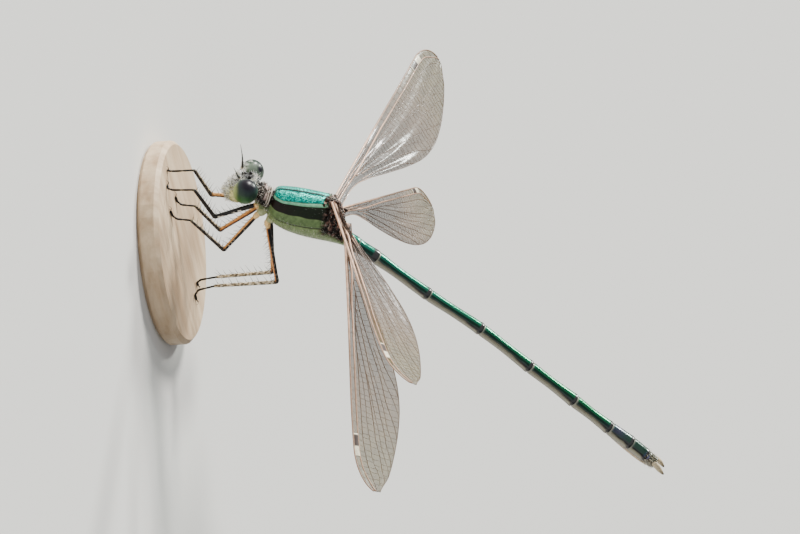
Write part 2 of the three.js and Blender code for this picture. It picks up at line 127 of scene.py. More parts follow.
# Base
# A small turned disc of pale maple carries the insect by its six feet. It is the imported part's own solid,
# sanded and sealed with a thin satin lacquer, so only its finish is made here.
WOOD_LIGHT = (0.62, 0.47, 0.31, 1.0)
WOOD_DARK = (0.43, 0.29, 0.17, 1.0)
WOOD_TURN = (0.05, 0.12, 0.5)
WOOD_GRAIN_PER_METRE = (150.0, 900.0, 900.0)
WOOD_PORE_DEPTH = 0.00005


def add_relief(tree, shader, height, strength, depth, invert=False):
    """Fine bumps on a finish out of a texture's values, depth metres deep."""
    bump = wire(tree, "ShaderNodeBump", {
        "Height": height, "Strength": strength, "Distance": depth}, invert=invert)
    tree.links.new(bump.outputs["Normal"], shader.inputs["Normal"])


wood, wood_tree, wood_shader = new_material("maple", Roughness=0.62, Coat_Weight=0.08, Coat_Roughness=0.3)
wood_place = wire(wood_tree, "ShaderNodeTexCoord").outputs["Object"]
wood_turn = wire(wood_tree, "ShaderNodeMapping",
                 {"Vector": wood_place, "Rotation": WOOD_TURN, "Scale": WOOD_GRAIN_PER_METRE})
wood_grain = wire(wood_tree, "ShaderNodeTexNoise",
                  {"Vector": wood_turn.outputs["Vector"], "Scale": 1.0, "Detail": 6.0, "Roughness": 0.6})
wood_ramp = wire(wood_tree, "ShaderNodeValToRGB", {"Fac": wood_grain.outputs["Fac"]})
wood_ramp.color_ramp.elements[0].position = 0.35
wood_ramp.color_ramp.elements[0].color = WOOD_DARK
wood_ramp.color_ramp.elements[1].position = 0.62
wood_ramp.color_ramp.elements[1].color = WOOD_LIGHT
wood_tree.links.new(wood_ramp.outputs["Color"], wood_shader.inputs["Base Color"])
add_relief(wood_tree, wood_shader, wood_grain.outputs["Fac"], 0.25, WOOD_PORE_DEPTH)
base_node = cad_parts["stand_base"]
base_node.data.materials.clear()
base_node.data.materials.append(wood)

# Thorax
# The chest of a damselfly: a small hairy collar in front and one deep box of fused plates behind it, drawn
# as one skin. A raised keel runs along the back between two bands of granular teal metal, each with a pale
# stripe and a bronze-black band below, and the sides and belly are grey-green.
PITCH = math.radians(55.7)
HEIGHT_ON_BASE = 13.5
SET_BACK = -0.5
# Top (x, z), bottom (x, z) and half width of each station in mm: the collar, then the box
COLLAR_STATIONS = [
    [7.80, 0.86, 7.74, 0.42, 0.24], [7.42, 1.00, 7.28, 0.16, 0.44], [7.10, 1.28, 6.95, -0.25, 0.80],
    [6.82, 1.34, 6.62, -0.45, 0.92], [6.48, 1.16, 6.28, -0.55, 0.88], [6.22, 1.22, 6.06, -0.56, 0.74],
]
BOX_STATIONS = [
    [6.06, 1.04, 5.98, -0.45, 0.70], [5.92, 1.50, 5.70, -0.92, 1.08], [5.40, 1.74, 5.10, -1.18, 1.34],
    [4.50, 2.06, 4.10, -1.32, 1.48], [3.50, 2.34, 3.00, -1.24, 1.52], [2.60, 2.56, 1.95, -1.06, 1.46],
    [1.85, 2.52, 1.20, -0.92, 1.30], [1.15, 2.02, 0.60, -0.84, 1.08], [0.55, 1.25, 0.20, -0.80, 0.84],
    [0.05, 0.48, -0.15, -0.76, 0.62], [-0.35, -0.02, -0.45, -0.60, 0.36],
]
BOX_START = len(COLLAR_STATIONS)
THORAX_ROWS = 300
THORAX_AROUND = 288
PATCHES_PER_GRAIN = 0.3
PIT_STRENGTH = 0.55
# Lower edges of each side's bands as angle from the keel, at places counted in stations from the box's front
BAND_PLACES = [0.0, 0.4, 1.0, 2.0, 3.5, 5.1, 5.7, 6.6]
TEAL_EDGE = [10, 18, 36, 41, 35, 26, 22, 20]
STRIPE_EDGE = [26, 34, 45, 48, 43, 35, 32, 28]
DARK_EDGE = [60, 72, 76, 76, 71, 69, 68, 68]
SUTURE_EDGE = [112, 110, 108, 105, 98, 92, 88, 84]
LOWER_SEAM = 133


def pitched(points):
    """Body points in mm (x ahead, y left, z up) turned head down, lifted over the base, in metres."""
    x, y, z = np.moveaxis(np.asarray(points, float), -1, 0)
    ahead = x * math.cos(PITCH) + z * math.sin(PITCH) + SET_BACK
    height = -x * math.sin(PITCH) + z * math.cos(PITCH) + HEIGHT_ON_BASE
    return np.stack([ahead, y, height], axis=-1) * MM


def paint(code):
    """A six-digit colour code as linear red, green and blue."""
    values = np.array([int(code[i:i + 2], 16) for i in (0, 2, 4)]) / 255
    return np.where(values <= 0.04045, values / 12.92, ((values + 0.055) / 1.055) ** 2.4)


def rise(values, low, high):
    """0 below low, 1 above high and a smooth S between."""
    t = np.clip((values - low) / (high - low), 0, 1)
    return t * t * (3 - 2 * t)


def fall(values, low, high):
    """1 below low, 0 above high and a smooth S between."""
    return 1 - rise(values, low, high)


def within(values, low, high, soft):
    """1 between low and high, and 0 outside, with soft edges."""
    return rise(values, low - soft, low + soft) * fall(values, high - soft, high + soft)


def near(values, middle, width):
    """A bell of height 1 at the middle value."""
    return np.exp(-((values - middle) / width) ** 2)


def lay(colours, code, amount):
    """Lays a colour over others by an amount of 0 to 1 at each point."""
    return colours + (paint(code) - colours) * np.clip(amount, 0, 1)[..., None]


def coats(ground, points, layers=()):
    """A ground colour at every point, with each layer's colour laid over it in turn by the layer's amount."""
    colours = paint(ground) * np.ones(points.shape)
    for code, amount in layers:
        colours = lay(colours, code, amount)
    return colours


def smooth_rows(table, at):
    """Catmull-Rom curves through the rows of a table, read at fractional row numbers."""
    table = np.asarray(table, float)
    i = np.clip(np.floor(at).astype(int), 0, len(table) - 2)
    t = (at - i)[:, None]
    p0, p1, p2, p3 = (table[np.clip(i + k, 0, len(table) - 1)] for k in (-1, 0, 1, 2))
    return 0.5 * (2 * p1 + (p2 - p0) * t + (2 * p0 - 5 * p1 + 4 * p2 - p3) * t ** 2
                  + (3 * p1 - p0 - 3 * p2 + p3) * t ** 3)


def ripple(points, size, seed):
    """Smooth uneven values of about -1 to 1: twelve sine waves, about size long, in random directions."""
    draw = np.random.default_rng(seed)
    waves = unit(draw.normal(size=(12, 3))) * draw.uniform(0.7, 1.6, (12, 1)) * 2 * np.pi / size
    phases = draw.uniform(0, 2 * np.pi, 12)
    return sum(np.sin(points @ wave + phase) for wave, phase in zip(waves, phases)) / 3.0


def closed_tubes(rings):
    """Corners and triangles of K tubes of N rings of M points, closed by a middle point at both ends."""
    k, n, m, _ = rings.shape
    ends = rings[:, [0, -1]].mean(axis=2)
    corners = np.concatenate([ends[:, :1], rings.reshape(k, n * m, 3), ends[:, 1:]], axis=1)
    row, column = np.meshgrid(np.arange(n - 1), np.arange(m), indexing="ij")
    a = 1 + row * m + column
    b = 1 + row * m + (column + 1) % m
    around = np.arange(m)
    one = np.concatenate([
        np.stack([a, b, b + m], -1).reshape(-1, 3),
        np.stack([a, b + m, a + m], -1).reshape(-1, 3),
        np.stack([np.zeros(m, int), 1 + (around + 1) % m, 1 + around], -1),
        np.stack([np.full(m, n * m + 1), 1 + (n - 1) * m + around, 1 + (n - 1) * m + (around + 1) % m], -1),
    ])
    size = n * m + 2
    triangles = (one[None] + (np.arange(k) * size)[:, None, None]).reshape(-1, 3)
    corners = corners.reshape(-1, 3)
    p, q, r = (corners[one[:, i]] for i in range(3))
    if (p * np.cross(q, r)).sum() < 0:
        triangles = triangles[:, ::-1]
    return corners, triangles


def at_corners(values):
    """Values of K tubes of N rings of M points in the order of closed_tubes' corners, ends as means."""
    k, n, m = values.shape[:3]
    rest = values.shape[3:]
    ends = values[:, [0, -1]].mean(axis=2)
    flat = np.concatenate([ends[:, :1], values.reshape((k, n * m) + rest), ends[:, 1:]], axis=1)
    return flat.reshape((-1,) + rest)


def make_piece(name, corners, triangles, material, tint, slot, metal=None, nodes=(), patch=None):
    """A smooth-shaded mesh of body points in mm, with its painted colours and metal share as attributes."""
    mesh = bpy.data.meshes.new(name)
    mesh.from_pydata(pitched(corners).tolist(), [], triangles.tolist())
    mesh.shade_smooth()
    mesh.materials.append(material)
    colours = np.ones((len(corners), 4))
    colours[:, :3] = np.clip(tint, 0, 1)
    mesh.attributes.new("tint", "FLOAT_COLOR", "POINT").data.foreach_set("color", colours.ravel())
    if metal is not None:
        mesh.attributes.new("metal", "FLOAT", "POINT").data.foreach_set("value", np.clip(metal, 0, 1))
    if patch is not None:
        loops = np.empty(len(mesh.loops), int)
        mesh.loops.foreach_get("vertex_index", loops)
        mesh.uv_layers.new(name="OFBake").data.foreach_set("uv", patch[loops].ravel())
    piece = bpy.data.objects.new(name, mesh)
    bpy.context.collection.objects.link(piece)
    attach(piece, "root")
    if nodes:
        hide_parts(*nodes)


def make_tubes(name, rings, material, tint, slot, metal=None, **options):
    """A piece out of one tube's rings or of many tubes' rings, with tint and metal share at their points."""
    if rings.ndim == 3:
        rings, tint = rings[None], tint[None]
        metal = None if metal is None else metal[None]
    metal = None if metal is None else at_corners(metal)
    make_piece(name, *closed_tubes(rings), material, at_corners(tint), slot, metal, **options)


def ranged(tree, value, low, high, first, last):
    """A texture's value with its span from low to high spread from first to last."""
    return wire(tree, "ShaderNodeMapRange", {
        "Value": value, "From Min": low, "From Max": high, "To Min": first, "To Max": last}).outputs["Result"]


def shade_tint(tree, shader, shade):
    """The painted tint times a shade as the finish's colour."""
    tint = wire(tree, "ShaderNodeAttribute", attribute_name="tint").outputs["Color"]
    colour = wire(tree, "ShaderNodeVectorMath", {"Scale": shade}, operation="SCALE")
    tree.links.new(tint, colour.inputs[0])
    tree.links.new(colour.outputs["Vector"], shader.inputs["Base Color"])


def cuticle(name, grain, depth, mottle, bright=1.15, dim=0.8, **sockets):
    """Insect skin: a painted tint, uneven in patches, over a pitted relief, with painted light and shade on
    each metal granule.

    grain is the number of granules in a metre, depth the relief in metres, mottle the share of uneven shade,
    and bright and dim are the painted light on the top and the painted shade at the foot of a metal granule."""
    material, tree, shader = new_material(name, **sockets)
    place = wire(tree, "ShaderNodeTexCoord").outputs["Object"]
    metal = wire(tree, "ShaderNodeAttribute", attribute_name="metal").outputs["Fac"]
    cells = wire(tree, "ShaderNodeTexVoronoi", {"Vector": place, "Scale": grain}).outputs["Distance"]
    clouds = wire(tree, "ShaderNodeTexNoise", {
        "Vector": place, "Scale": grain * PATCHES_PER_GRAIN, "Detail": 5.0}).outputs["Fac"]
    patches = ranged(tree, clouds, 0.3, 0.7, 1 - mottle, 1 + mottle)
    # Where the skin is metal each granule is painted lighter on its top and darker at its foot: painted light
    # and shade on the granules
    granules = ranged(tree, cells, 0.1, 0.65, bright, dim)
    granule_light_and_shade = wire(tree, "ShaderNodeMix", {"Factor": metal, "A": 1.0, "B": granules}).outputs["Result"]
    shade = wire(tree, "ShaderNodeMath", operation="MULTIPLY")
    tree.links.new(patches, shade.inputs[0])
    tree.links.new(granule_light_and_shade, shade.inputs[1])
    shade_tint(tree, shader, shade.outputs["Value"])
    tree.links.new(metal, shader.inputs["Metallic"])
    add_relief(tree, shader, cells, PIT_STRENGTH, depth, invert=True)
    return material


chitin = cuticle("chitin", 12500.0, 0.00003, 0.28, 2.0, 0.12, Roughness=0.40, Specular_IOR_Level=0.18)

stations = COLLAR_STATIONS + BOX_STATIONS
row_at = np.linspace(0, len(stations) - 1, THORAX_ROWS)
rows = smooth_rows(stations, row_at)
flat = np.zeros(THORAX_ROWS)
row_top = np.stack([rows[:, 0], flat, rows[:, 1]], -1)
row_bottom = np.stack([rows[:, 2], flat, rows[:, 3]], -1)
row_middle = (row_top + row_bottom) / 2
row_up = (row_top - row_bottom) / 2
row_side = np.stack([flat, rows[:, 4], flat], -1)
angle = np.arange(THORAX_AROUND) * 2 * np.pi / THORAX_AROUND
around_cos = np.cos(angle)[None, :, None]
around_sin = np.sin(angle)[None, :, None]
thorax_plain = row_middle[:, None] + row_up[:, None] * around_cos + row_side[:, None] * around_sin
thorax_out = unit(unit(row_up)[:, None] * around_cos / np.linalg.norm(row_up, axis=1)[:, None, None]
                  + np.array([0.0, 1.0, 0.0]) * around_sin / rows[:, 4][:, None, None])
degrees = np.degrees(np.minimum(angle, 2 * np.pi - angle))[None, :] + 0 * row_at[:, None]
place = (row_at - BOX_START)[:, None] + 0 * degrees
collar_place = row_at[:, None] + 0 * degrees
teal_edge, stripe_edge, dark_edge, suture_edge = (
    np.interp(place, BAND_PLACES, edge) for edge in (TEAL_EDGE, STRIPE_EDGE, DARK_EDGE, SUTURE_EDGE))
box_share = rise(place, -0.2, 0.3)
rough_rear = rise(place, 4.9, 5.6) * fall(degrees, 95, 120) * fall(place, 8.2, 9.2)
uneven = ripple(thorax_plain, 0.55, 3)
fine_uneven = ripple(thorax_plain, 0.22, 4)
# Ridges and grooves along the box: height in mm, middle and half width in degrees, first and last place, fade
box_lines = [
    (0.055, 0, 4, 0.8, 4.8, 0.3),
    (-0.045, stripe_edge, 3, 0.5, 5.2, 0.3),
    (-0.030, teal_edge, 2.5, 0.5, 5.0, 0.3),
    (-0.050, suture_edge, 2.5, 1.2, 6.6, 0.3),
    (-0.035, LOWER_SEAM, 3, 1.6, 6.4, 0.4),
]
relief = np.zeros(degrees.shape)
for line_height, middle, half_width, first, last, fade in box_lines:
    relief += line_height * near(degrees, middle, half_width) * within(place, first, last, fade)
relief += rough_rear * (0.06 * uneven + 0.06 * fine_uneven)
relief += 0.05 * near(collar_place, 1.9, 0.28) + 0.07 * near(collar_place, 4.75, 0.22)
relief -= 0.06 * near(collar_place, 2.45, 0.22) + 0.05 * near(collar_place, 3.9, 0.25)
relief -= 0.05 * near(degrees, 0, 8) * within(collar_place, 2.4, 4.2, 0.4)
relief += 0.02 * ripple(thorax_plain, 0.4, 5) * (1 - box_share)
thorax_grid = thorax_plain + thorax_out * relief[..., None]

mixed = ripple(thorax_plain, 0.8, 6)
dark_wave = 0.7 * np.sin(place * 5)
dark_band = box_share * within(degrees, stripe_edge, dark_edge + dark_wave, 1.2)
dark_band = dark_band * within(place, 0.0, 5.9, 0.1)
stripe = 0.95 * box_share * within(degrees, teal_edge, stripe_edge, 1.0) * within(place, 0.2, 5.4, 0.12)
band_end = 5.35 - 0.030 * np.abs(degrees - 14)
band_front = 0.30 + 0.00085 * (degrees - 12) ** 2
teal = box_share * within(degrees, 2.6, teal_edge - 1.5, 1.0) * rise(place, band_front, band_front + 0.1)
teal = teal * fall(place, band_end - 0.06, band_end + 0.06)
teal_ground = box_share * within(degrees, 0, teal_edge, 1.2) * within(place, 0.1, 5.3, 0.1)
collar = 1 - box_share
thorax_tint = coats("6f8053", thorax_plain, [
    # Belly, sides and the lines between the side plates
    ("7b8663", rise(degrees, 118, 150) * box_share),
    ("52673f", box_share * within(degrees, dark_edge, suture_edge, 6) * 0.8),
    ("2a2a20", box_share * near(degrees, suture_edge, 1.8) * within(place, 1.6, 6.2, 0.3)),
    ("6a7455", box_share * near(degrees, LOWER_SEAM, 2.5) * within(place, 2.0, 6.2, 0.3)),
    # Dark band, pale stripe, teal band with a painted highlight along its upper part, and keel with a painted
    # shadow line
    ("0a1404", dark_band),
    ("120805", dark_band * within(place, -0.5, 2.6, 0.9)),
    ("74b592", stripe),
    ("0c2a28", teal_ground),
    ("12b8a6", teal),
    # Painted highlight: a paler teal line along the upper part of each teal band
    ("5fe6d4", teal * near(degrees, 9, 6) * 0.5),
    # Painted shadow: a black line along the raised keel, standing for the shade beside the ridge
    ("07090a", box_share * near(degrees, 0, 4.2) * within(place, 0.35, 5.2, 0.15)),
    # Rough skin between and behind the wings
    ("1a0f0a", rough_rear),
    ("644940", rough_rear * rise(uneven + 0.6 * fine_uneven, 0.55, 0.8) * 0.9),
    ("120d0a", rough_rear * rise(-fine_uneven, 0.25, 0.7)),
    # Collar: brown above, green below, with cream hoops and a black rear edge
    ("2a2019", collar * fall(degrees, 85, 125)),
    ("100c09", collar * rise(mixed, 0.0, 0.8) * fall(degrees, 80, 120)),
    ("5d6a4b", collar * rise(degrees, 95, 130)),
    ("cdb3aa", near(collar_place, 3.35, 0.45) * rise(mixed, -0.2, 0.1) * fall(degrees, 45, 75)),
    ("d8c4b4", near(collar_place, 4.15, 0.12) * fall(degrees, 60, 90)),
    ("e8dccb", near(collar_place, 4.75, 0.16) * fall(degrees, 70, 95)),
    ("14100c", within(collar_place, 5.1, 6.25, 0.12) * fall(degrees, 70, 95) * 0.9),
])
make_tubes("thorax_skin", thorax_grid, chitin, thorax_tint, slot="thorax", metal=0.85 * teal,
           nodes=["thorax", "prothorax"])

# Wing roots
# Small hard plates of pinkish cream and brown chitin hinge each wing to the thorax, and thin raised welts
# run down the skin behind them. Both are sunk in the skin.
WING_ROOTS = {
    "forewing_left": [2.04, 0.61, 2.58], "hindwing_left": [0.56, 0.70, 1.31],
    "forewing_right": [1.81, -0.94, 2.05], "hindwing_right": [0.91, -1.10, 1.34],
}
PLATES_AT_ROOT = 14
PLATE_RINGS = 7
PLATE_AROUND = 10
WELTS = 26
WELT_STEPS = 14
WELT_AROUND = 8
WELT_WANDER = 0.05
WELT_LIFT = -0.008


def strands(paths, radii, around, across=None):
    """Rings of K tubes along paths of N points, square to the path, their first point towards across."""
    paths = np.asarray(paths, float)
    tangent = unit(np.gradient(paths, axis=1))
    if across is None:
        mean = unit(paths[:, -1] - paths[:, 0])
        across = np.where(np.abs(mean[:, 1:2]) < 0.8, [[0.0, 1.0, 0.0]], [[1.0, 0.0, 0.0]])
    across = np.broadcast_to(np.asarray(across, float), (len(paths), 3))[:, None]
    first = unit(across - tangent * (across * tangent).sum(-1, keepdims=True))
    second = np.cross(tangent, first)
    spin = (np.arange(around) * 2 * np.pi / around)[None, None, :, None]
    radii = np.broadcast_to(np.asarray(radii, float), paths.shape[:2])[..., None, None]
    return paths[:, :, None] + radii * (np.cos(spin) * first[:, :, None] + np.sin(spin) * second[:, :, None])


plates = np.random.default_rng(11)
latitude = np.linspace(0.12, np.pi - 0.12, PLATE_RINGS)
longitude = np.arange(PLATE_AROUND) * 2 * np.pi / PLATE_AROUND
ball = np.stack([
    np.sin(latitude)[:, None] * np.cos(longitude), np.sin(latitude)[:, None] * np.sin(longitude),
    np.cos(latitude)[:, None] + 0 * longitude], -1)
roots = np.array(list(WING_ROOTS.values()))
spots = np.repeat(roots, PLATES_AT_ROOT, 0)
spread = plates.uniform(-1, 1, (len(spots), 3)) * [0.55, 0.20, 0.26]
spots = spots + spread + np.array([0.20, 0, -0.18]) - 0.16 * np.sign(spots[:, 1:2]) * [0, 1, 0]
plate_size = plates.uniform(0.12, 0.26, (len(spots), 1)) * plates.uniform(0.5, 1.0, (len(spots), 3))
plate_rings = spots[:, None, None] + ball[None] * plate_size[:, None, None]
plate_tint = np.where(plates.uniform(size=(len(spots), 1)) < 0.40, paint("c9a795"), paint("2e1c13"))
plate_tint = plate_tint[:, None, None] * np.ones(plate_rings.shape)
make_tubes("wing_root_plates", plate_rings, chitin, plate_tint, slot="thorax")

# Each welt runs down the skin's rear side, read off the skin's own grid by row and angle
welt_side = np.where(np.arange(WELTS) % 2 == 0, 1.0, -1.0)[:, None]
welt_share = np.linspace(0, 1, WELT_STEPS)[None]
welt_row = BOX_START + plates.uniform(5.5, 7.6, (WELTS, 1))
welt_row = welt_row + plates.uniform(-0.3, 0.5, (WELTS, 1)) * welt_share
welt_waves = welt_share * plates.uniform(3, 9, (WELTS, 1))
welt_row = welt_row + WELT_WANDER * np.sin(welt_waves + plates.uniform(0, 6, (WELTS, 1)))
welt_degrees = plates.uniform(5, 72, (WELTS, 1)) + plates.uniform(12, 26, (WELTS, 1)) * welt_share
grid_row = np.clip(welt_row / (len(stations) - 1) * (THORAX_ROWS - 1), 0, THORAX_ROWS - 1).astype(int)
grid_column = (welt_side * welt_degrees / 360 * THORAX_AROUND).astype(int) % THORAX_AROUND
welt_paths = thorax_grid[grid_row, grid_column] + thorax_out[grid_row, grid_column] * WELT_LIFT
welt_radii = plates.uniform(0.022, 0.045, (WELTS, 1)) * (0.35 + 0.65 * np.sin(np.pi * welt_share))
welt_rings = strands(welt_paths, welt_radii, WELT_AROUND)
welt_tint = np.where(plates.uniform(size=(WELTS, 1)) < 0.6, paint("d9b9aa"), paint("7a5244"))
welt_tint = welt_tint[:, None, None] * np.ones(welt_rings.shape)
make_tubes("wing_root_welts", welt_rings, chitin, welt_tint, slot="thorax")

# Abdomen
# Ten rings of thin chitin that slide into one another, as one skin from the thorax to the tail. The back of
# each ring is green metal, its lower edge black and its underside grey-brown. A pale and a black hoop mark
# each joint.
ABDOMEN_START = [-0.15, -0.20]
# End (x, z) of each ring, then its radius in front, at the waist and behind, in mm
ABDOMEN_RINGS = [
    [-1.05, -0.42, 0.60, 0.56, 0.56], [-2.84, -0.80, 0.56, 0.51, 0.51], [-7.56, -2.11, 0.50, 0.42, 0.46],
    [-12.35, -3.23, 0.45, 0.42, 0.46], [-17.02, -4.73, 0.45, 0.42, 0.47], [-21.29, -6.08, 0.46, 0.43, 0.50],
    [-24.72, -7.18, 0.48, 0.44, 0.50], [-26.75, -7.78, 0.50, 0.54, 0.55], [-28.30, -8.30, 0.54, 0.53, 0.50],
    [-29.25, -8.64, 0.48, 0.46, 0.42],
]
RING_STEPS = 78
ABDOMEN_AROUND = 72

joints = np.array([ABDOMEN_START] + [ring[:2] for ring in ABDOMEN_RINGS])
ring_lengths = np.linalg.norm(np.diff(joints, axis=0), axis=1)
ring_at = np.linspace(-0.35, len(ABDOMEN_RINGS), RING_STEPS * len(ABDOMEN_RINGS))
centre_xz = smooth_rows(joints, np.clip(ring_at, 0, None)) + np.minimum(ring_at, 0)[:, None] * [-0.9, -0.22]
ring_number = np.clip(np.floor(ring_at).astype(int), 0, len(ABDOMEN_RINGS) - 1)
ring_share = ring_at - ring_number
front, waist, rear = np.array(ABDOMEN_RINGS)[ring_number, 2:].T
ring_radius = np.where(ring_share < 0.45, front + (waist - front) * rise(ring_share, 0, 0.45),
                       waist + (rear - waist) * rise(ring_share, 0.45, 1))
from_front = np.clip(ring_share, 0, 1) * ring_lengths[ring_number]
from_rear = (1 - ring_share) * ring_lengths[ring_number]
inner_joint = (ring_number > 0) | (ring_share > 0.5)
ring_radius = ring_radius - 0.05 * near(from_front, 0, 0.10) * inner_joint
ring_radius = ring_radius + 0.025 * near(from_rear, 0.16, 0.16)
ring_radius = ring_radius * (1 - 0.55 * rise(ring_at, 9.82, 10.0))
heading = unit(np.gradient(centre_xz, axis=0))
ring_up = np.stack([heading[:, 1], 0 * ring_at, -heading[:, 0]], -1)
centre = np.stack([centre_xz[:, 0], 0 * ring_at, centre_xz[:, 1]], -1)
turn_round = np.arange(ABDOMEN_AROUND) * 2 * np.pi / ABDOMEN_AROUND
side_degrees = np.degrees(np.minimum(turn_round, 2 * np.pi - turn_round))[None, :] + 0 * ring_at[:, None]
belly_groove = 0.10 * near(side_degrees, 180, 12)
side_groove = 0.05 * near(side_degrees, 122, 5)
ring_radius = ring_radius[:, None] * (1 - belly_groove - side_groove)
abdomen_grid = (centre[:, None] + ring_radius[..., None] * (
    ring_up[:, None] * np.cos(turn_round)[None, :, None]
    + np.array([0.0, 1.0, 0.0]) * np.sin(turn_round)[None, :, None]))
abdomen_noise = ripple(abdomen_grid, 0.9, 21)
along = ring_at[:, None] + 0 * side_degrees
from_front = from_front[:, None] + 0 * side_degrees
from_rear = from_rear[:, None] + 0 * side_degrees
tail = rise(along, 6.9, 7.3)
segment_share = np.clip(ring_share, 0, 1)[:, None] + 0 * side_degrees
edge = 58 + 2 * abdomen_noise + 26 * fall(along, 0.8, 2.2)
low_edge = edge + 12 + 10 * rise(segment_share, 0.55, 0.95) + 8 * tail
green = fall(side_degrees, edge - 3, edge + 3)
hoops = rise(along, 0.9, 1.1)
black_hoop = within(from_rear, 0.0, 0.32, 0.04) * fall(side_degrees, 96, 120) * hoops
brown_hoop = within(from_rear, 0.0, 0.24, 0.05) * rise(side_degrees, 90, 120) * hoops
pale_hoop = within(from_front, 0.0, 0.09, 0.03) * hoops * (along < 8.5) * (1 - 0.4 * tail)
abdomen_tint = coats("6f6a58", abdomen_grid, [
    # Underside: a paler side line, a brown fold, a pale plate and a dark middle line
    ("8d8874", near(side_degrees, 100, 9) * 0.6),
    ("5d5240", rise(side_degrees, 112, 128)),
    ("8c836a", rise(side_degrees, 140, 155)),
    ("3a3024", near(side_degrees, 180, 9)),
    # Lower edge: brown towards each joint, black above
    ("2a1810", fall(side_degrees, low_edge + 8, low_edge + 18) * rise(segment_share, 0.5, 0.95)),
    ("0a100c", fall(side_degrees, low_edge - 4, low_edge + 4)),
    # Back: green, more teal in front, dark at its edges, violet and blue towards the tail
    ("0f6a42", green),
    ("13756a", green * fall(along, 1.0, 6.0) * 0.6),
    ("042018", green * rise(side_degrees, 22, 44) * 0.95),
    ("08140f", green * near(side_degrees, 0, 4) * 0.6),
    ("123528", green * tail),
    ("332b4a", green * near(along, 7.2, 0.3) * 0.7),
    ("3f45c8", near(along, 8.95, 0.12) * near(side_degrees, 55, 22) * 0.8),
    # Hoops at the joints, and the last ring
    ("090808", black_hoop),
    ("3a2418", brown_hoop * 0.9),
    ("7d7a6c", pale_hoop),
    ("4a3f30", rise(along, 8.9, 9.2) * 0.6),
])
abdomen_metal = 0.9 * green * (1 - 0.5 * tail) * (1 - black_hoop)
abdomen_metal = abdomen_metal * (1 - within(from_front, 0.0, 0.15, 0.03) * hoops)
gloss = cuticle("gloss", 15000.0, 0.000004, 0.12, Roughness=0.28, Coat_Weight=0.15, Coat_Roughness=0.12)
make_tubes("abdomen_skin", abdomen_grid, gloss, abdomen_tint, slot="abdomen", metal=abdomen_metal,
           nodes=[f"abdomen_s{i}" for i in range(1, 11)])

# Tail tip
# A female's egg blade hangs under the last rings: two pale brown valves pressed together, finely toothed
# below. Two small brownish cones, the cerci, close the tail.
VALVE_DROP = 0.76
VALVE_HALF_WIDTHS = [0.05, 0.24, 0.30, 0.26, 0.16, 0.05]
VALVE_STEPS = 70
VALVE_AROUND = 28
CERCUS_PATH = [[-29.00, 0.25, -8.42], [-29.35, 0.36, -8.54], [-29.75, 0.44, -8.74], [-30.15, 0.42, -8.98]]
CERCUS_RADII = [0.20, 0.22, 0.18, 0.07]
CERCUS_STEPS = 30
CERCUS_AROUND = 18

valve_at = np.linspace(6.95, 9.9, VALVE_STEPS)
valve_middle = smooth_rows(joints, valve_at)
valve_share = np.linspace(0, 1, VALVE_STEPS)
valve_half = np.interp(valve_share, np.linspace(0, 1, len(VALVE_HALF_WIDTHS)), VALVE_HALF_WIDTHS)
valve_low = VALVE_DROP * (0.62 + 0.38 * np.sin(np.pi * valve_share) ** 0.6)
valve_low = valve_low + 0.02 * np.abs(np.sin(valve_share * 70)) * rise(valve_share, 0.5, 0.7)
valve_turn = np.arange(VALVE_AROUND) * 2 * np.pi / VALVE_AROUND
valve_up = unit(np.stack([-0.30 + 0 * valve_at, 0 * valve_at, 0.95 + 0 * valve_at], -1))
valve_deep = valve_low / 2
valve_top = np.stack([valve_middle[:, 0], 0 * valve_at, valve_middle[:, 1]], -1)
valve_centre = valve_top - valve_up * valve_deep[:, None]
valve_grid = (valve_centre[:, None]
              + valve_up[:, None] * (valve_deep[:, None] * np.cos(valve_turn))[..., None]
              + np.array([0.0, 1.0, 0.0]) * (valve_half[:, None] * np.sin(valve_turn))[..., None])
valve_side = np.abs(np.sin(valve_turn))[None, :] + 0 * valve_at[:, None]
valve_down = -np.cos(valve_turn)[None, :] + 0 * valve_at[:, None]
valve_grid[:, :, 1] *= 1 - 0.25 * near(valve_down, 1.0, 0.25)
valve_tint = coats("b29a78", valve_grid, [
    ("6d5338", rise(valve_down, 0.6, 1.0)),
    ("3c2d20", near(valve_side, 0.75, 0.06) * 0.5),
])
horn = cuticle("horn", 16000.0, 0.00001, 0.3, Roughness=0.45, Coat_Weight=0.1)
make_tubes("egg_blade", valve_grid, horn, valve_tint, nodes=["ovipositor"], slot="ovipositor")
cercus_share = np.linspace(0, 1, CERCUS_STEPS)
cercus_stop = cercus_share * (len(CERCUS_PATH) - 1)
cercus_radii = smooth_rows(np.array(CERCUS_RADII)[:, None], cercus_stop)[:, 0]
for side, word in ((1, "left"), (-1, "right")):
    path = smooth_rows(CERCUS_PATH, cercus_stop) * [1, side, 1]
    rings = strands(path[None], cercus_radii[None], CERCUS_AROUND)
    dark_tip = rise(cercus_share, 0.65, 1.0)[None, :, None] + 0 * rings[..., 0]
    make_tubes(f"cercus_{word}_skin", rings, horn, coats("a8987a", rings, [("38291b", dark_tip)]),
               nodes=[f"cercus_{word}"], slot="ovipositor")

# Head
# A wide hammer of a head between the eyes, one hard capsule with grooves where its plates meet: the domed
# brow, the two-part nose plate, the lip, the line of the mouth and the jaws below it. Rays from inside the
# head are followed to the outermost surface of rounded forms melted together.
HEAD_CENTRE = np.array([8.30, 0.0, 0.75])
# The head is rolled about the body's length, swung to its right and moved, all about the neck
NECK = np.array([7.60, 0.0, 0.75])
HEAD_ROLL = math.radians(8)
HEAD_SWING = math.radians(-5)
HEAD_SHIFT = np.array([-0.03, 0.16, -0.19])
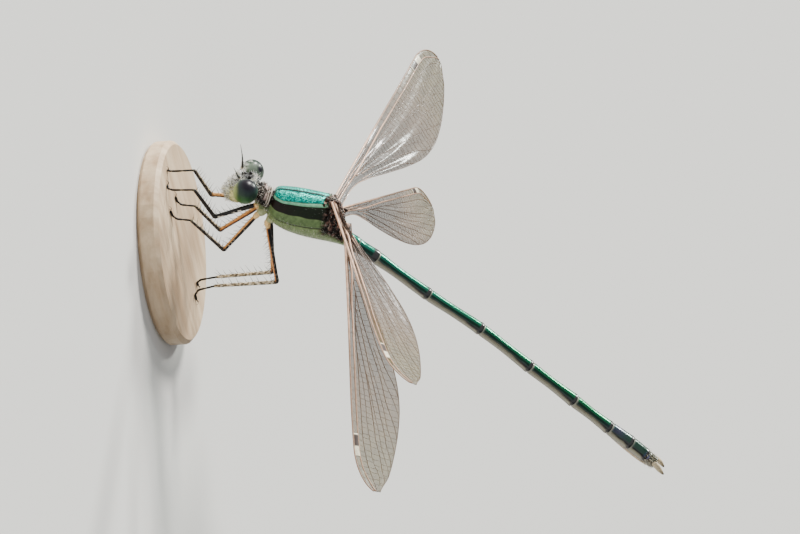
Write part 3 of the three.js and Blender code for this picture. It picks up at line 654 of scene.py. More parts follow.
# Centre and radii of each form in mm
HEAD_FORMS = [
    ([7.95, 0, 1.12], [0.70, 1.42, 0.76]), ([8.58, 0, 1.06], [0.60, 0.94, 0.74]),
    ([8.62, 0, 1.42], [0.34, 0.40, 0.42]), ([8.98, 0, 0.66], [0.50, 0.74, 0.34]),
    ([9.08, 0, 0.34], [0.48, 0.66, 0.26]), ([9.10, 0, 0.04], [0.40, 0.58, 0.30]),
    ([8.50, 0, -0.10], [0.70, 0.56, 0.52]), ([8.82, 0.40, 0.00], [0.40, 0.26, 0.44]),
    ([8.82, -0.40, 0.00], [0.40, 0.26, 0.44]), ([8.50, 0.62, 0.30], [0.50, 0.36, 0.48]),
    ([8.50, -0.62, 0.30], [0.50, 0.36, 0.48]), ([7.60, 0.85, 0.95], [0.26, 0.60, 0.56]),
    ([7.60, -0.85, 0.95], [0.26, 0.60, 0.56]), ([7.50, 0, 0.72], [0.38, 0.62, 0.52]),
    ([8.84, 0.60, 1.46], [0.17, 0.17, 0.16]), ([8.84, -0.60, 1.46], [0.17, 0.17, 0.16]),
]
HEAD_MELT = 0.05
HEAD_ROWS = 260
HEAD_AROUND = 320
# Grooves on the face as height (z), from which x they start, depth and half width, in mm
FACE_GROOVES = [
    (0.86, 8.75, 0.035, 0.030), (0.48, 8.85, 0.050, 0.028),
    (0.20, 8.95, 0.045, 0.026), (-0.19, 8.80, 0.100, 0.030),
]
RAY_START = 2.2
RAY_STEPS = 70
RAY_STRIDE = 0.7


def turned(first, second, angle):
    """Two of a point's measures turned about the third axis."""
    cosine, sine = math.cos(angle), math.sin(angle)
    return first * cosine - second * sine, first * sine + second * cosine


def head_turned(points):
    """Points of the straight head rolled, swung and moved about the neck."""
    x, y, z = np.moveaxis(points - NECK, -1, 0)
    y, z = turned(y, z, HEAD_ROLL)
    x, y = turned(x, y, HEAD_SWING)
    return np.stack([x, y, z], -1) + NECK + HEAD_SHIFT


def head_distance(points):
    """Distance to the melted forms: a soft least of each ellipsoid's own, deepened along the grooves."""
    total = 0.0
    for middle, radii in HEAD_FORMS:
        scaled = (points - middle) / radii
        size = np.linalg.norm(scaled, axis=-1)
        steep = np.linalg.norm(scaled / radii, axis=-1)
        total = total + np.exp(-np.clip(size * (size - 1) / np.maximum(steep, 1e-6), -2, 2) / HEAD_MELT)
    distance = -HEAD_MELT * np.log(total)
    x, y, z = np.moveaxis(points, -1, 0)
    for height, start, depth, width in FACE_GROOVES:
        curved = height + 0.10 * (y / 0.7) ** 2
        distance = distance + depth * near(z, curved, width) * rise(x, start - 0.1, start + 0.1)
    middle_groove = near(y, 0, 0.03) * rise(x, 8.3, 8.6) * within(z, 1.0, 1.6, 0.1)
    rear_groove = near(x, 7.72, 0.05) * within(np.abs(y), 0.3, 1.1, 0.15) * rise(z, 1.0, 1.3)
    return distance + 0.03 * middle_groove + 0.03 * rear_groove


polar = np.linspace(0.02, np.pi - 0.02, HEAD_ROWS)[:, None]
swing = (np.arange(HEAD_AROUND) * 2 * np.pi / HEAD_AROUND)[None, :]
rays = np.stack([np.sin(polar) * np.cos(swing), np.cos(polar) + 0 * swing, np.sin(polar) * np.sin(swing)], -1)
reach = np.full(rays.shape[:2], RAY_START)
for _ in range(RAY_STEPS):
    reach = reach - RAY_STRIDE * head_distance(HEAD_CENTRE + rays * reach[..., None])
head_plain = HEAD_CENTRE + rays * reach[..., None]
head_rough = ripple(head_plain, 0.30, 31)
head_fine = ripple(head_plain, 0.17, 32)
head_grid = head_turned(head_plain + rays * (0.012 * head_rough + 0.008 * head_fine)[..., None])
hx, hy, hz = np.moveaxis(head_plain, -1, 0)
crown_ring = np.hypot(hx - 8.40, hy)
mouth = near(hz, -0.19 + 0.10 * (hy / 0.7) ** 2, 0.035)
head_tint = coats("7c7b6a", head_grid, [
    # Crown: pale grey with dark blotches, black between the eyes and round the antennae
    ("9a988a", rise(hz, 0.95, 1.3)),
    ("15130f", rise(hz, 1.15, 1.4) * rise(head_rough, 0.15, 0.45) * 0.9),
    ("b9b6c4", rise(np.abs(hy), 0.62, 0.80) * rise(hz, 0.9, 1.2)),
    ("070606", fall(crown_ring, 0.40, 0.52) * rise(hz, 1.4, 1.6)),
    ("0a0806", near(np.hypot(hx - 8.84, np.abs(hy) - 0.60), 0.0, 0.20) * rise(hz, 1.1, 1.3)),
    # Face: nose plate, lip and the line of the mouth
    ("d6d6c6", rise(hx, 8.75, 8.95) * within(hz, 0.20, 0.86, 0.05)),
    ("a3a088", rise(hx, 8.85, 8.95) * within(hz, 0.48, 0.86, 0.04) * 0.6),
    ("dad6b4", rise(hx, 8.8, 8.95) * within(hz, -0.19, 0.20, 0.04)),
    ("3a2a18", rise(hx, 8.75, 8.9) * mouth),
    # Jaws, cheeks, back of the head and dark specks
    ("c5bd84", within(hz, -0.8, 0.15, 0.1) * fall(hx, 8.7, 8.9) * rise(hx, 7.9, 8.2)),
    ("cfc98a", rise(np.abs(hy), 0.55, 0.75) * within(hz, 0.0, 0.8, 0.1) * rise(hx, 8.3, 8.6)),
    ("0e0b08", fall(hx, 7.55, 7.70) * rise(hz, 0.4, 0.7)),
    ("0b0907", rise(head_fine, 0.25, 0.45) * rise(hz, 0.2, 0.9) * 0.95),
])
capsule = cuticle("capsule", 14000.0, 0.00003, 0.35, Roughness=0.5, Specular_IOR_Level=0.25)
make_tubes("head_skin", head_grid, capsule, head_tint, nodes=["head"], slot="head")

# Eyes
# Each compound eye is a ball of thousands of six-sided lenses, dark above, green below and pale towards the
# face, set in the side of the head. The far eye also has a painted highlight on its top and front, broken by
# dark specks. Three glassy single eyes sit in a triangle on the crown.
EYE_CENTRE = np.array([8.12, 1.50, 1.32])
EYE_RADII = np.array([0.89, 0.88, 0.91])
# Way to the middle of each eye's dark cap, and the cap's reach
EYE_CAPS = {"left": np.array([0.10, 0.33, 0.93]), "right": np.array([-0.50, 0.37, 0.77])}
EYE_CAP_SIZES = {"left": 0.40, "right": 0.12}
EYE_ROWS = 120
EYE_AROUND = 160
LENSES_PER_METRE = 30000.0
LENS_DEPTH = 0.000006
CROWN_EYES = [[8.62, 0, 1.80], [8.22, 0.30, 1.86], [8.22, -0.30, 1.86]]
CROWN_EYE_RADIUS = 0.13
CROWN_EYE_ROWS = 24
CROWN_EYE_AROUND = 32


def ball_grid(centre, radii, rows, around):
    """Points of an ellipsoid, the centre plus the radii times each direction, and the directions."""
    tilt = np.linspace(0.03, np.pi - 0.03, rows)[:, None]
    spin = (np.arange(around) * 2 * np.pi / around)[None, :]
    ways = np.stack([np.sin(tilt) * np.cos(spin), np.sin(tilt) * np.sin(spin), np.cos(tilt) + 0 * spin], -1)
    return centre + np.asarray(radii) * ways, ways


lens, lens_tree, lens_shader = new_material(
    "lenses", Roughness=0.35, Specular_IOR_Level=0.22, Coat_Weight=0.05, Coat_Roughness=0.12)
lens_place = wire(lens_tree, "ShaderNodeTexCoord").outputs["Object"]
lens_cells = wire(lens_tree, "ShaderNodeTexVoronoi", {
    "Vector": lens_place, "Scale": LENSES_PER_METRE}).outputs["Distance"]
shade_tint(lens_tree, lens_shader, ranged(lens_tree, lens_cells, 0.2, 0.7, 1.1, 0.6))
add_relief(lens_tree, lens_shader, lens_cells, 0.25, LENS_DEPTH, invert=True)

for side, word in ((1, "left"), (-1, "right")):
    grid, ways = ball_grid(EYE_CENTRE * [1, side, 1], EYE_RADII, EYE_ROWS, EYE_AROUND)
    cap = np.linalg.norm(ways - unit(EYE_CAPS[word]), axis=-1)
    below = ways @ unit(np.array([-0.15, 0.50 * side, -0.85]))
    forward = ways @ unit(np.array([0.92, 0.15 * side, -0.35]))
    inward = -(ways @ np.array([0.0, side, 0.0]))
    blotch = ripple(ways, 0.5, 41)
    face_side = rise(forward, 0.05, 0.45)
    # bloom is a painted highlight on the far eye's top and front, mottled with dark specks
    painted_far_eye_highlight = rise(forward + 0.2 * blotch + 0.5 * ways[..., 2], 0.56, 0.84) * (side < 0)
    tint = coats("24372c", grid, [
        ("33602a", rise(below, 0.25, 0.85)),
        ("8b9a86", rise(inward + 0.1 * blotch, 0.0, 0.45) * 0.9),
        ("d9dccb", rise(inward + 0.25 * blotch, 0.42, 0.55) * face_side),
        ("14110e", rise(inward, 0.35, 0.5) * face_side * rise(-blotch, 0.25, 0.4)),
        ("a3b06e", rise(forward, 0.50, 1.0)),
        ("e2e4da", painted_far_eye_highlight),
        ("11100f", painted_far_eye_highlight * rise(ripple(ways, 0.14, 42), 0.22, 0.35)),
        ("1d272c", fall(cap, 0.55, 1.15) * (1.0 if side > 0 else 0.35)),
        ("0d0716", fall(cap, EYE_CAP_SIZES[word], EYE_CAP_SIZES[word] + 0.40)),
    ])
    make_tubes(f"eye_{word}_lenses", head_turned(grid), lens, tint, nodes=[f"eye_{word}"], slot="eye")
crown = head_turned(np.stack([
    ball_grid(np.array(spot), [CROWN_EYE_RADIUS] * 3, CROWN_EYE_ROWS, CROWN_EYE_AROUND)[0]
    for spot in CROWN_EYES]))
make_tubes("crown_eyes", crown, lens, coats("120e0c", crown), slot="eye")

# Antennae
# Two short stout joints and a bare whip of thin black ones on each side of the brow, drawn as one tapered
# tube with narrow waists between the joints.
ANTENNA_PATHS = {
    "left": [
        [8.81, 0.50, 1.33], [8.93, 0.58, 1.55], [9.22, 0.94, 2.00],
        [9.46, 1.12, 2.36], [9.75, 1.30, 2.75]],
    "right": [
        [8.65, -0.62, 1.16], [8.83, -0.68, 1.55], [9.14, -0.74, 2.26],
        [9.42, -0.80, 2.76], [9.73, -0.90, 3.22]],
}
ANTENNA_RADII = [0.11, 0.10, 0.055, 0.030, 0.012]
ANTENNA_STEPS = 90
ANTENNA_AROUND = 14

antenna_share = np.linspace(0, 4, ANTENNA_STEPS)
antenna_radii = smooth_rows(np.array(ANTENNA_RADII)[:, None], antenna_share)[:, 0]
antenna_radii = antenna_radii * (1 - 0.22 * near(antenna_share % 0.5, 0.25, 0.05))
for word, path in ANTENNA_PATHS.items():
    rings = strands(smooth_rows(path, antenna_share)[None], antenna_radii[None], ANTENNA_AROUND)
    dark_whip = rise(antenna_share, 0.8, 1.2)[None, :, None] + 0 * rings[..., 0]
    make_tubes(f"antenna_{word}_whip", rings, horn, coats("b7ab8c", rings, [("15110e", dark_whip)]),
               nodes=[f"antenna_{word}"], slot="leg")

# Legs
# Six thin legs, each one skin from the hip to the toe: a thick pale hip joint, a tan ring, a thigh with a
# black outer line, a shin, and a foot of three short black joints that lies on the base. Two hooked claws end
# the foot, and two rows of long black bristles stand along the inner side of thigh and shin.
SOLE_HEIGHT = 1.60
TOE_LIFT = 0.075
ANKLE_HEIGHT = 1.90
# Hip, trochanter and knee in body mm; ankle as ahead, left and height over its own level; toe as ahead and
# left; then how much of the shin and the thigh is black, from 0 to about 1.3
LEGS = {
    "fore_left": (
        [6.45, 0.30, 0.20], [6.76, 0.58, 0.04], [9.17, 1.00, -2.25],
        [5.75, 0.85, 1.75], [6.05, 0.45], 1.0, 1.3),
    "fore_right": (
        [6.50, -0.30, -0.10], [7.00, -0.60, -0.45], [9.80, -1.05, -2.10],
        [6.20, -0.90, 1.60], [6.60, -0.65], 0.9, 0.4),
    "mid_left": (
        [6.15, 0.40, -0.35], [6.50, 0.82, -0.68], [7.42, 1.10, -4.65],
        [3.16, 1.00, 1.00], [4.35, 1.25], 0.9, 0.45),
    "mid_right": (
        [6.10, -0.40, -0.40], [6.33, -0.66, -0.98], [7.95, -1.10, -4.85],
        [2.90, -1.00, 1.00], [4.00, -0.85], 0.9, 0.15),
    "hind_left": (
        [5.30, 0.45, -0.50], [5.62, 0.80, -1.00], [2.72, 0.62, -5.90],
        [-3.28, 0.60, 1.40], [-4.50, 0.55], 0.15, 0.15),
    "hind_right": (
        [5.05, -0.45, -0.70], [5.36, -0.80, -1.45], [3.10, -0.62, -6.19],
        [-3.40, -0.60, 1.40], [-4.20, -0.75], 0.15, 0.15),
}
# Radius in mm along a leg, where 1 is the trochanter, 2 the knee, 3 the ankle and 4 the toe
LEG_PROFILE = [
    (0.0, 0.34), (0.55, 0.33), (0.80, 0.27), (0.88, 0.20), (0.97, 0.23), (1.05, 0.22), (1.09, 0.16),
    (1.25, 0.18), (1.6, 0.16), (1.9, 0.145), (1.98, 0.17), (2.0, 0.17), (2.03, 0.15), (2.08, 0.145),
    (2.5, 0.135), (2.93, 0.125), (2.99, 0.11), (3.02, 0.07), (3.15, 0.075), (3.20, 0.055), (3.24, 0.08),
    (3.46, 0.08), (3.50, 0.055), (3.55, 0.08), (3.9, 0.085), (4.0, 0.06),
]
LEG_STEPS = [26, 90, 90, 20, 20, 20]
LEG_AROUND = 20
LEG_SOFTENING = 5
BRISTLES = {"in a row": 9, "length": 0.62, "radius": 0.022, "lean": 0.55, "steps": 6, "around": 5}
CLAW = {"length": 0.34, "radius": 0.035, "tip radius": 0.006, "steps": 12, "around": 8}


def on_base(ahead, left, height):
    """A point given over the base, as ahead, left and height in mm, in the body's own mm."""
    z = height - HEIGHT_ON_BASE
    x = ahead * math.cos(PITCH) - z * math.sin(PITCH)
    return np.array([x, left, ahead * math.sin(PITCH) + z * math.cos(PITCH)])


def rounded_path(stops, steps, soften):
    """A broken line through the stops, sampled by steps a length, its corners rounded by a running mean."""
    shares = [np.linspace(0, 1, n, endpoint=False) for n in steps]
    parts = [stops[i] + (stops[i + 1] - stops[i]) * share[:, None] for i, share in enumerate(shares)]
    line = np.concatenate(parts + [stops[-1:]])
    count = np.concatenate([i + share for i, share in enumerate(shares)] + [[len(steps)]])
    window = np.hanning(2 * soften + 3)[1:-1]
    window = window / window.sum()
    padded = np.concatenate([2 * line[:1] - line[soften:0:-1], line, 2 * line[-1:] - line[-2:-soften - 2:-1]])
    smooth = np.stack([np.convolve(padded[:, i], window, "valid") for i in range(3)], -1)
    return smooth, count


leg_skin = cuticle("leg_skin", 20000.0, 0.000012, 0.3, Roughness=0.38, Specular_IOR_Level=0.3)
bristle_horn = cuticle("bristle_horn", 20000.0, 0.000004, 0.15, Roughness=0.4, Specular_IOR_Level=0.2)
draw = np.random.default_rng(51)
ground_up = np.array([-math.sin(PITCH), 0, math.cos(PITCH)])
profile_at, profile_radii = np.array(LEG_PROFILE).T
for name, (hip, trochanter, knee, ankle, toe, dark_shin, dark_thigh) in LEGS.items():
    hip, trochanter, knee = (np.array(stop) for stop in (hip, trochanter, knee))
    ankle = on_base(ankle[0], ankle[1], ANKLE_HEIGHT + ankle[2])
    toe_end = on_base(toe[0], toe[1], SOLE_HEIGHT + TOE_LIFT)
    foot_run = toe_end - ankle
    drop = foot_run @ ground_up
    level_run = foot_run - ground_up * drop
    heel = ankle + level_run * 0.22 + ground_up * drop * 0.80
    instep = ankle + level_run * 0.55 + ground_up * drop * 0.995
    stops = np.stack([hip, trochanter, knee, ankle, heel, instep, toe_end])
    line, count = rounded_path(stops, LEG_STEPS, LEG_SOFTENING)
    count = np.where(count > 3, 3 + (count - 3) / 3, count)
    radii = np.interp(count, profile_at, profile_radii)
    outward = unit(np.cross(knee - trochanter, ankle - knee))
    rings = strands(line[None], radii[None], LEG_AROUND, across=outward)
    spoke = unit(rings - line[None, :, None])
    outer_thigh = unit(np.cross(outward, knee - trochanter))
    outer_thigh = outer_thigh * -np.sign(outer_thigh @ (ankle - knee))
    outer_shin = unit(np.cross(outward, ankle - knee))
    outer_shin = outer_shin * -np.sign(outer_shin @ (trochanter - knee))
    along = count[None, :, None] + 0 * rings[..., 0]
    facing = np.where(along < 2, spoke @ outer_thigh, spoke @ outer_shin)
    speckle = ripple(rings, 0.28, 52)
    thigh = within(along, 1.09, 2.02, 0.02)
    shin = within(along, 2.02, 3.0, 0.02)
    pale_fleck = within(along, 1.35, 2.0, 0.1) * dark_thigh * rise(speckle, 0.35, 0.5)
    pale_fleck = pale_fleck * rise(facing, -0.3, 0.1)
    tint = coats("a3a67c", rings, [
        ("e6bf80", within(along, 0.9, 1.10, 0.03)),
        ("c06a24", thigh),
        ("e0a765", thigh * rise(-facing, 0.2, 0.8)),
        ("0c0705", thigh * rise(facing + dark_thigh, -0.05, 0.15)),
        ("c9b592", shin),
        ("1b1410", shin * rise(facing + dark_shin * 1.6, 0.35, 0.70)),
        ("1b1410", shin * rise(speckle, 0.1, 0.35) * 0.75),
        ("efe3cc", shin * (1 - dark_shin) * rise(-speckle, 0.25, 0.5) * 0.8),
        ("f2e6d2", pale_fleck),
        ("14100d", near(along, 2.0, 0.05)),
        ("15110e", rise(along, 2.98, 3.02)),
    ])
    make_tubes(f"leg_{name}_skin", rings, leg_skin, tint,
               nodes=[f"femur_{name}", f"tibia_{name}", f"tarsus_{name}"], slot="leg")

    run = unit(level_run)
    t = np.linspace(0, 1, CLAW["steps"])[:, None]
    reach_out = run * (CLAW["length"] * np.sin(t * 1.4))
    arch = ground_up * (0.10 * np.sin(t * np.pi) - 0.045 * t)
    apart = unit(np.cross(ground_up, run)) * 0.16 * t
    hooks = np.stack([toe_end + reach_out + apart * way + arch for way in (1, -1)])
    claw_radii = np.linspace(CLAW["radius"], CLAW["tip radius"], CLAW["steps"])
    claws = strands(hooks, claw_radii, CLAW["around"])
    make_tubes(f"claws_{name}", claws, bristle_horn, coats("1c1410", claws), slot="leg")

    # Thigh and shin: first joint, second joint, the joint the bristles face, and the ends of their rows
    spans = [(trochanter, knee, ankle, 1.12, 1.93), (knee, ankle, trochanter, 2.06, 2.95)]
    in_row = BRISTLES["in a row"]
    roots, ways, sizes = [], [], []
    for first, second, third, low, high in spans:
        axis = unit(second - first)
        inner = unit((third - second) - axis * ((third - second) @ axis))
        across = np.cross(axis, inner)
        for row in (1, -1):
            places = np.linspace(low, high, in_row) + draw.uniform(-0.02, 0.02, in_row)
            out = unit(inner + across * row * draw.uniform(0.45, 0.75, (in_row, 1)))
            at = np.stack([np.interp(places, count, line[:, i]) for i in range(3)], -1)
            roots.append(at + out * np.interp(places, profile_at, profile_radii)[:, None] * 0.6)
            ways.append(unit(out + axis * BRISTLES["lean"] * draw.uniform(0.7, 1.3, (in_row, 1))))
            sizes.append(BRISTLES["length"] * draw.uniform(0.75, 1.2, in_row))
    roots, ways, sizes = np.concatenate(roots), np.concatenate(ways), np.concatenate(sizes)
    t = np.linspace(0, 1, BRISTLES["steps"])
    paths = roots[:, None] + ways[:, None] * (sizes[:, None] * t)[..., None]
    bristles = strands(paths, BRISTLES["radius"] * (1 - 0.85 * t)[None], BRISTLES["around"])
    make_tubes(f"bristles_{name}", bristles, bristle_horn, coats("17110d", bristles), slot="leg")

# Wings
# Four stalked wings of clear film, a little smoky, held flat by a net of hollow veins. The film is pleated
# between the main veins. A cell half brown and half cream, the wing mark, sits near each tip.
# Side, length, width, root, sweep, rise and pitch in degrees, then bend, twist, curl and camber
WINGS = {
    "forewing_left": (1, 20.6, 0.81, [2.04, 0.61, 2.58], 15.6, 9.2, 6.7, -0.031, -0.058, 0.24, 0.11),
    "hindwing_left": (1, 20.0, 0.94, [0.56, 0.70, 1.31], 20.6, -22.8, 6.7, -0.030, -0.053, 0.20, 0.26),
    "forewing_right": (-1, 20.6, 1.10, [1.81, -0.94, 2.05], 11.6, 3.9, 9.2, 0.097, -0.431, -0.39, -0.76),
    "hindwing_right": (-1, 20.0, 0.98, [0.91, -1.10, 1.34], 25.8, -23.8, 32.6, 0.078, 0.049, -0.33, 0.10),
}
# Depth of the rear edge behind the leading line at places along the wing, both as shares of the length
TRAILING_EDGE = [
    (0, 0.032), (0.10, 0.034), (0.18, 0.058), (0.30, 0.112), (0.42, 0.163), (0.55, 0.205), (0.66, 0.217),
    (0.76, 0.205), (0.85, 0.180), (0.93, 0.148), (1.0, 0.100),
]
TIP_START = 0.84
TIP_DROP = 0.100
CURL_START = 0.6
WING_START = -0.012
WING_END = 0.994
FILM_HALF = 0.012
PLEAT = 0.10
FILM_COLUMNS = 200
FILM_ROWS = 48
FILM_PIT_DEPTH = 0.00006
# Long veins from the leading edge back: places along the wing with the share of its width there, and radius.
# The first is the leading edge itself, and the third the stout vein behind it that carries the wing mark.
LONG_VEINS = [
    ([(0, 0.0), (1, 0.0)], 0.090),
    ([(0, 0.22), (0.10, 0.30), (0.20, 0.17), (0.30, 0.07), (0.365, 0.0)], 0.045),
    ([(0, 0.40), (0.10, 0.52), (0.20, 0.32), (0.30, 0.18), (0.42, 0.11), (0.60, 0.095), (0.80, 0.11),
      (0.93, 0.16), (1, 0.42)], 0.080),
    ([(0.17, 0.52), (0.30, 0.29), (0.42, 0.20), (0.60, 0.19), (0.80, 0.23), (0.93, 0.36), (1, 0.70)], 0.042),
    ([(0.47, 0.20), (0.60, 0.28), (0.75, 0.33), (0.88, 0.48), (0.97, 0.80)], 0.028),
    ([(0.365, 0.235), (0.50, 0.31), (0.65, 0.40), (0.80, 0.53), (0.92, 0.78), (0.96, 1.0)], 0.040),
    ([(0.55, 0.35), (0.70, 0.50), (0.82, 0.66), (0.93, 1.0)], 0.028),
    ([(0.31, 0.30), (0.42, 0.38), (0.55, 0.46), (0.70, 0.60), (0.82, 0.80), (0.89, 1.0)], 0.038),
    ([(0.50, 0.47), (0.62, 0.60), (0.74, 0.76), (0.84, 1.0)], 0.028),
    ([(0.25, 0.42), (0.36, 0.50), (0.50, 0.60), (0.64, 0.72), (0.78, 1.0)], 0.038),
    ([(0.45, 0.62), (0.56, 0.74), (0.70, 1.0)], 0.028),
    ([(0.19, 0.62), (0.28, 0.66), (0.40, 0.72), (0.52, 0.82), (0.62, 1.0)], 0.040),
    ([(0.17, 0.90), (0.26, 0.84), (0.36, 0.88), (0.48, 1.0)], 0.036),
    ([(0, 1.0), (1, 1.0)], 0.040),
]
EDGE_VEIN = 0
STOUT_VEIN = 2
VEIN_STEPS = 130
VEIN_AROUND = 8
VEIN_SOFTENING = 5
CELL_LENGTH = 0.40
LONG_CELLS = ((0, 1), (0, 2), (1, 2))
CROSS_VEIN_RADIUS = 0.016
CROSS_VEIN_SLANT = 0.004
CROSS_VEIN_STEPS = 5
CROSS_VEIN_AROUND = 5
MARK = {"from": 0.785, "to": 0.870, "half": 0.040, "columns": 40, "rows": 8}


class WingShape:
    """Where one wing's points are: along the span, back along the chord, and lifted by its bends."""

    def __init__(self, side, length, width, root, sweep, rise_angle, pitch, bend, twist, curl, camber):
        sweep, rise_angle, pitch = (math.radians(value) for value in (sweep, rise_angle, pitch))
        self.length, self.width, self.root = length, width, np.array(root)
        self.bend, self.twist, self.curl, self.camber = bend, twist, curl, camber
        self.span = np.array([-math.sin(sweep) * math.cos(rise_angle),
                              side * math.cos(sweep) * math.cos(rise_angle), math.sin(rise_angle)])
        level = np.array([-math.cos(sweep), -side * math.sin(sweep), 0.0])
        upright = np.cross(self.span, level) * side
        self.chord = level * math.cos(pitch) - upright * math.sin(pitch)
        self.normal = upright * math.cos(pitch) + level * math.sin(pitch)

    def chord_at(self, share):
        """Front and rear edge at a share of the length, in mm behind the straight leading line."""
        t = np.clip((share - TIP_START) / (1 - TIP_START), 0, 1)
        front = TIP_DROP * (1 - np.sqrt(1 - t * t))
        places, depths = np.array(TRAILING_EDGE).T
        row = np.interp(share, places, np.arange(len(places)))
        rear = smooth_rows(depths[:, None], row.ravel()).reshape(np.shape(share))
        return front * self.length * self.width, rear * self.length * self.width

    def point(self, share, across, lift):
        """The root plus the ways along span and chord, plus bend, curl, twist, camber, pleat and lift."""
        front, rear = self.chord_at(np.maximum(share, 0))
        y = front + (rear - front) * across
        bent = (self.bend * share ** 2 + self.curl * np.maximum(0, share - CURL_START) ** 2) * self.length
        pleat = PLEAT * (1 - 0.75 * rise(share, 0.1, 0.8)) * np.sin(across * 22)
        pleat = pleat * rise(across * (1 - across), 0, 0.05)
        height = bent + self.twist * share * y + self.camber * y ** 2 / self.length + pleat + lift
        return (self.root + self.span * (share * self.length)[..., None] + self.chord * y[..., None]
                + self.normal * height[..., None])


film, film_tree, film_shader = new_material(
    "wing_film", Roughness=0.22, Alpha=0.50, IOR=1.45, Specular_IOR_Level=0.6)
film_place = wire(film_tree, "ShaderNodeTexCoord").outputs["Object"]
film_noise = wire(film_tree, "ShaderNodeTexNoise", {
    "Vector": film_place, "Scale": 1800.0, "Detail": 4.0}).outputs["Fac"]
shade_tint(film_tree, film_shader, ranged(film_tree, film_noise, 0.3, 0.7, 0.75, 1.25))
add_relief(film_tree, film_shader, film_noise, 0.4, FILM_PIT_DEPTH)
vein_horn = cuticle("vein_horn", 12000.0, 0.00001, 0.25, Roughness=0.4, Coat_Weight=0.1)


def wing_sheet(shape, share, depth, rows, half):
    """Rings of a sheet on a wing, back along its upper side and forward along its lower side."""
    across = np.linspace(0, 1, rows)
    trip = np.concatenate([across, across[::-1]])
    lift = np.concatenate([np.full(rows, half), np.full(rows, -half)])
    grid_share = share[:, None] + 0 * trip
    return shape.point(grid_share, depth[:, None] * trip, lift[None] + 0 * grid_share), grid_share


def vein_mesh(bundles, normal):
    """One mesh out of bundles of vein tubes, each with its paths, radii, points around and colours."""
    corner_sets, triangle_sets, tint_sets = [], [], []
    first = 0
    for paths, radii, around, colours in bundles:
        rings = strands(paths, radii, around, across=normal)
        corners, triangles = closed_tubes(rings)
        corner_sets.append(corners)
        triangle_sets.append(triangles + first)
        tint_sets.append(at_corners(colours[:, :, None] + 0 * rings))
        first += len(corners)
    return np.concatenate(corner_sets), np.concatenate(triangle_sets), np.concatenate(tint_sets)


vein_draw = np.random.default_rng(61)
film_share = WING_START + (WING_END - WING_START) * (1 - (1 - np.linspace(0, 1, FILM_COLUMNS)) ** 1.25)
mark_share = np.linspace(MARK["from"], MARK["to"], MARK["columns"])
pairs = [(i, j) for i in range(len(LONG_VEINS)) for j in range(i + 1, len(LONG_VEINS))]
for name, numbers in WINGS.items():
    shape = WingShape(*numbers)
    film_grid, grid_share = wing_sheet(shape, film_share, np.ones(FILM_COLUMNS), FILM_ROWS, FILM_HALF)
    tint = coats("6a5337", film_grid, [
        ("2c1d18", fall(grid_share, 0.25, 0.75) * 0.9),
        ("615d36", rise(grid_share, 0.6, 0.9) * 0.6),
    ])
    make_tubes(f"{name}_film", film_grid, film, tint, nodes=[name], slot="wing")

    # Long veins, with their first and last place, places and shares of the wing's width kept as courses
    bundles, courses = [], []
    for number, (stops, radius) in enumerate(LONG_VEINS):
        stops = np.array(stops)
        low, high = stops[0, 0], min(stops[-1, 0], WING_END)
        vein_share = np.linspace(low if low > 0 else WING_START, high, VEIN_STEPS)
        width_share = np.interp(vein_share, stops[:, 0], stops[:, 1])
        window = np.ones(2 * VEIN_SOFTENING + 1) / (2 * VEIN_SOFTENING + 1)
        width_share = np.convolve(np.pad(width_share, VEIN_SOFTENING, mode="edge"), window, "valid")
        courses.append((low, high, vein_share, width_share))
        path = shape.point(vein_share, width_share, 0 * width_share)
        pale = fall(vein_share, 0.16, 0.26) * 0.8
        if number == EDGE_VEIN:
            pale = 1 - 0.65 * rise(vein_share, 0.36, 0.50)
        if number == STOUT_VEIN:
            pale = 1 - 0.5 * rise(vein_share, 0.40, 0.60)
        colours = coats("5a4434", path, [("d8ae92", pale)])
        bundles.append((path[None], (radius * (1 - 0.45 * vein_share))[None], VEIN_AROUND, colours[None]))

    # Cross veins between each two neighbours, left out where a third vein runs between them
    for upper, lower in pairs:
        low = max(courses[upper][0], courses[lower][0], 0.05) + 0.01
        high = min(courses[upper][1], courses[lower][1]) - 0.005
        if high - low < 0.03:
            continue
        cell = CELL_LENGTH * (1.9 if (upper, lower) in LONG_CELLS else 1.0)
        low = max(low, 0.08 if upper < STOUT_VEIN else 0.20)
        steps = max(2, int((high - low) * shape.length / cell))
        places = np.linspace(low, high, steps) + vein_draw.uniform(-0.15, 0.15, steps) * (high - low) / steps
        top = np.interp(places, *courses[upper][2:])
        bottom = np.interp(places + CROSS_VEIN_SLANT, *courses[lower][2:])
        clear = bottom - top > 0.02
        for other, (start, end, vein_share, width_share) in enumerate(courses):
            if other in (upper, lower):
                continue
            between = np.interp(places, vein_share, width_share)
            clear &= ~((places >= start) & (places <= end) & (between > top) & (between < bottom))
        places, top, bottom = places[clear], top[clear], bottom[clear]
        if not len(places):
            continue
        t = np.linspace(0, 1, CROSS_VEIN_STEPS)[None]
        bundle_share = places[:, None] + t * CROSS_VEIN_SLANT
        paths = shape.point(bundle_share, top[:, None] + (bottom - top)[:, None] * t, 0 * bundle_share)
        radii = np.full(bundle_share.shape, CROSS_VEIN_RADIUS)
        bundles.append((paths, radii, CROSS_VEIN_AROUND, coats("5e4a3a", paths)))
    corners, triangles, tint = vein_mesh(bundles, shape.normal)
    make_piece(f"{name}_veins", corners, triangles, vein_horn, tint, slot="wing")

    mark_depth = np.interp(mark_share, *courses[STOUT_VEIN][2:])
    mark_grid, grid_share = wing_sheet(shape, mark_share, mark_depth, MARK["rows"], MARK["half"])
    mark_tint = coats("2e1b12", mark_grid, [("d6cdb4", 1 - within(grid_share, 0.790, 0.833, 0.002))])
    make_tubes(f"{name}_mark", mark_grid, vein_horn, mark_tint, slot="wing")

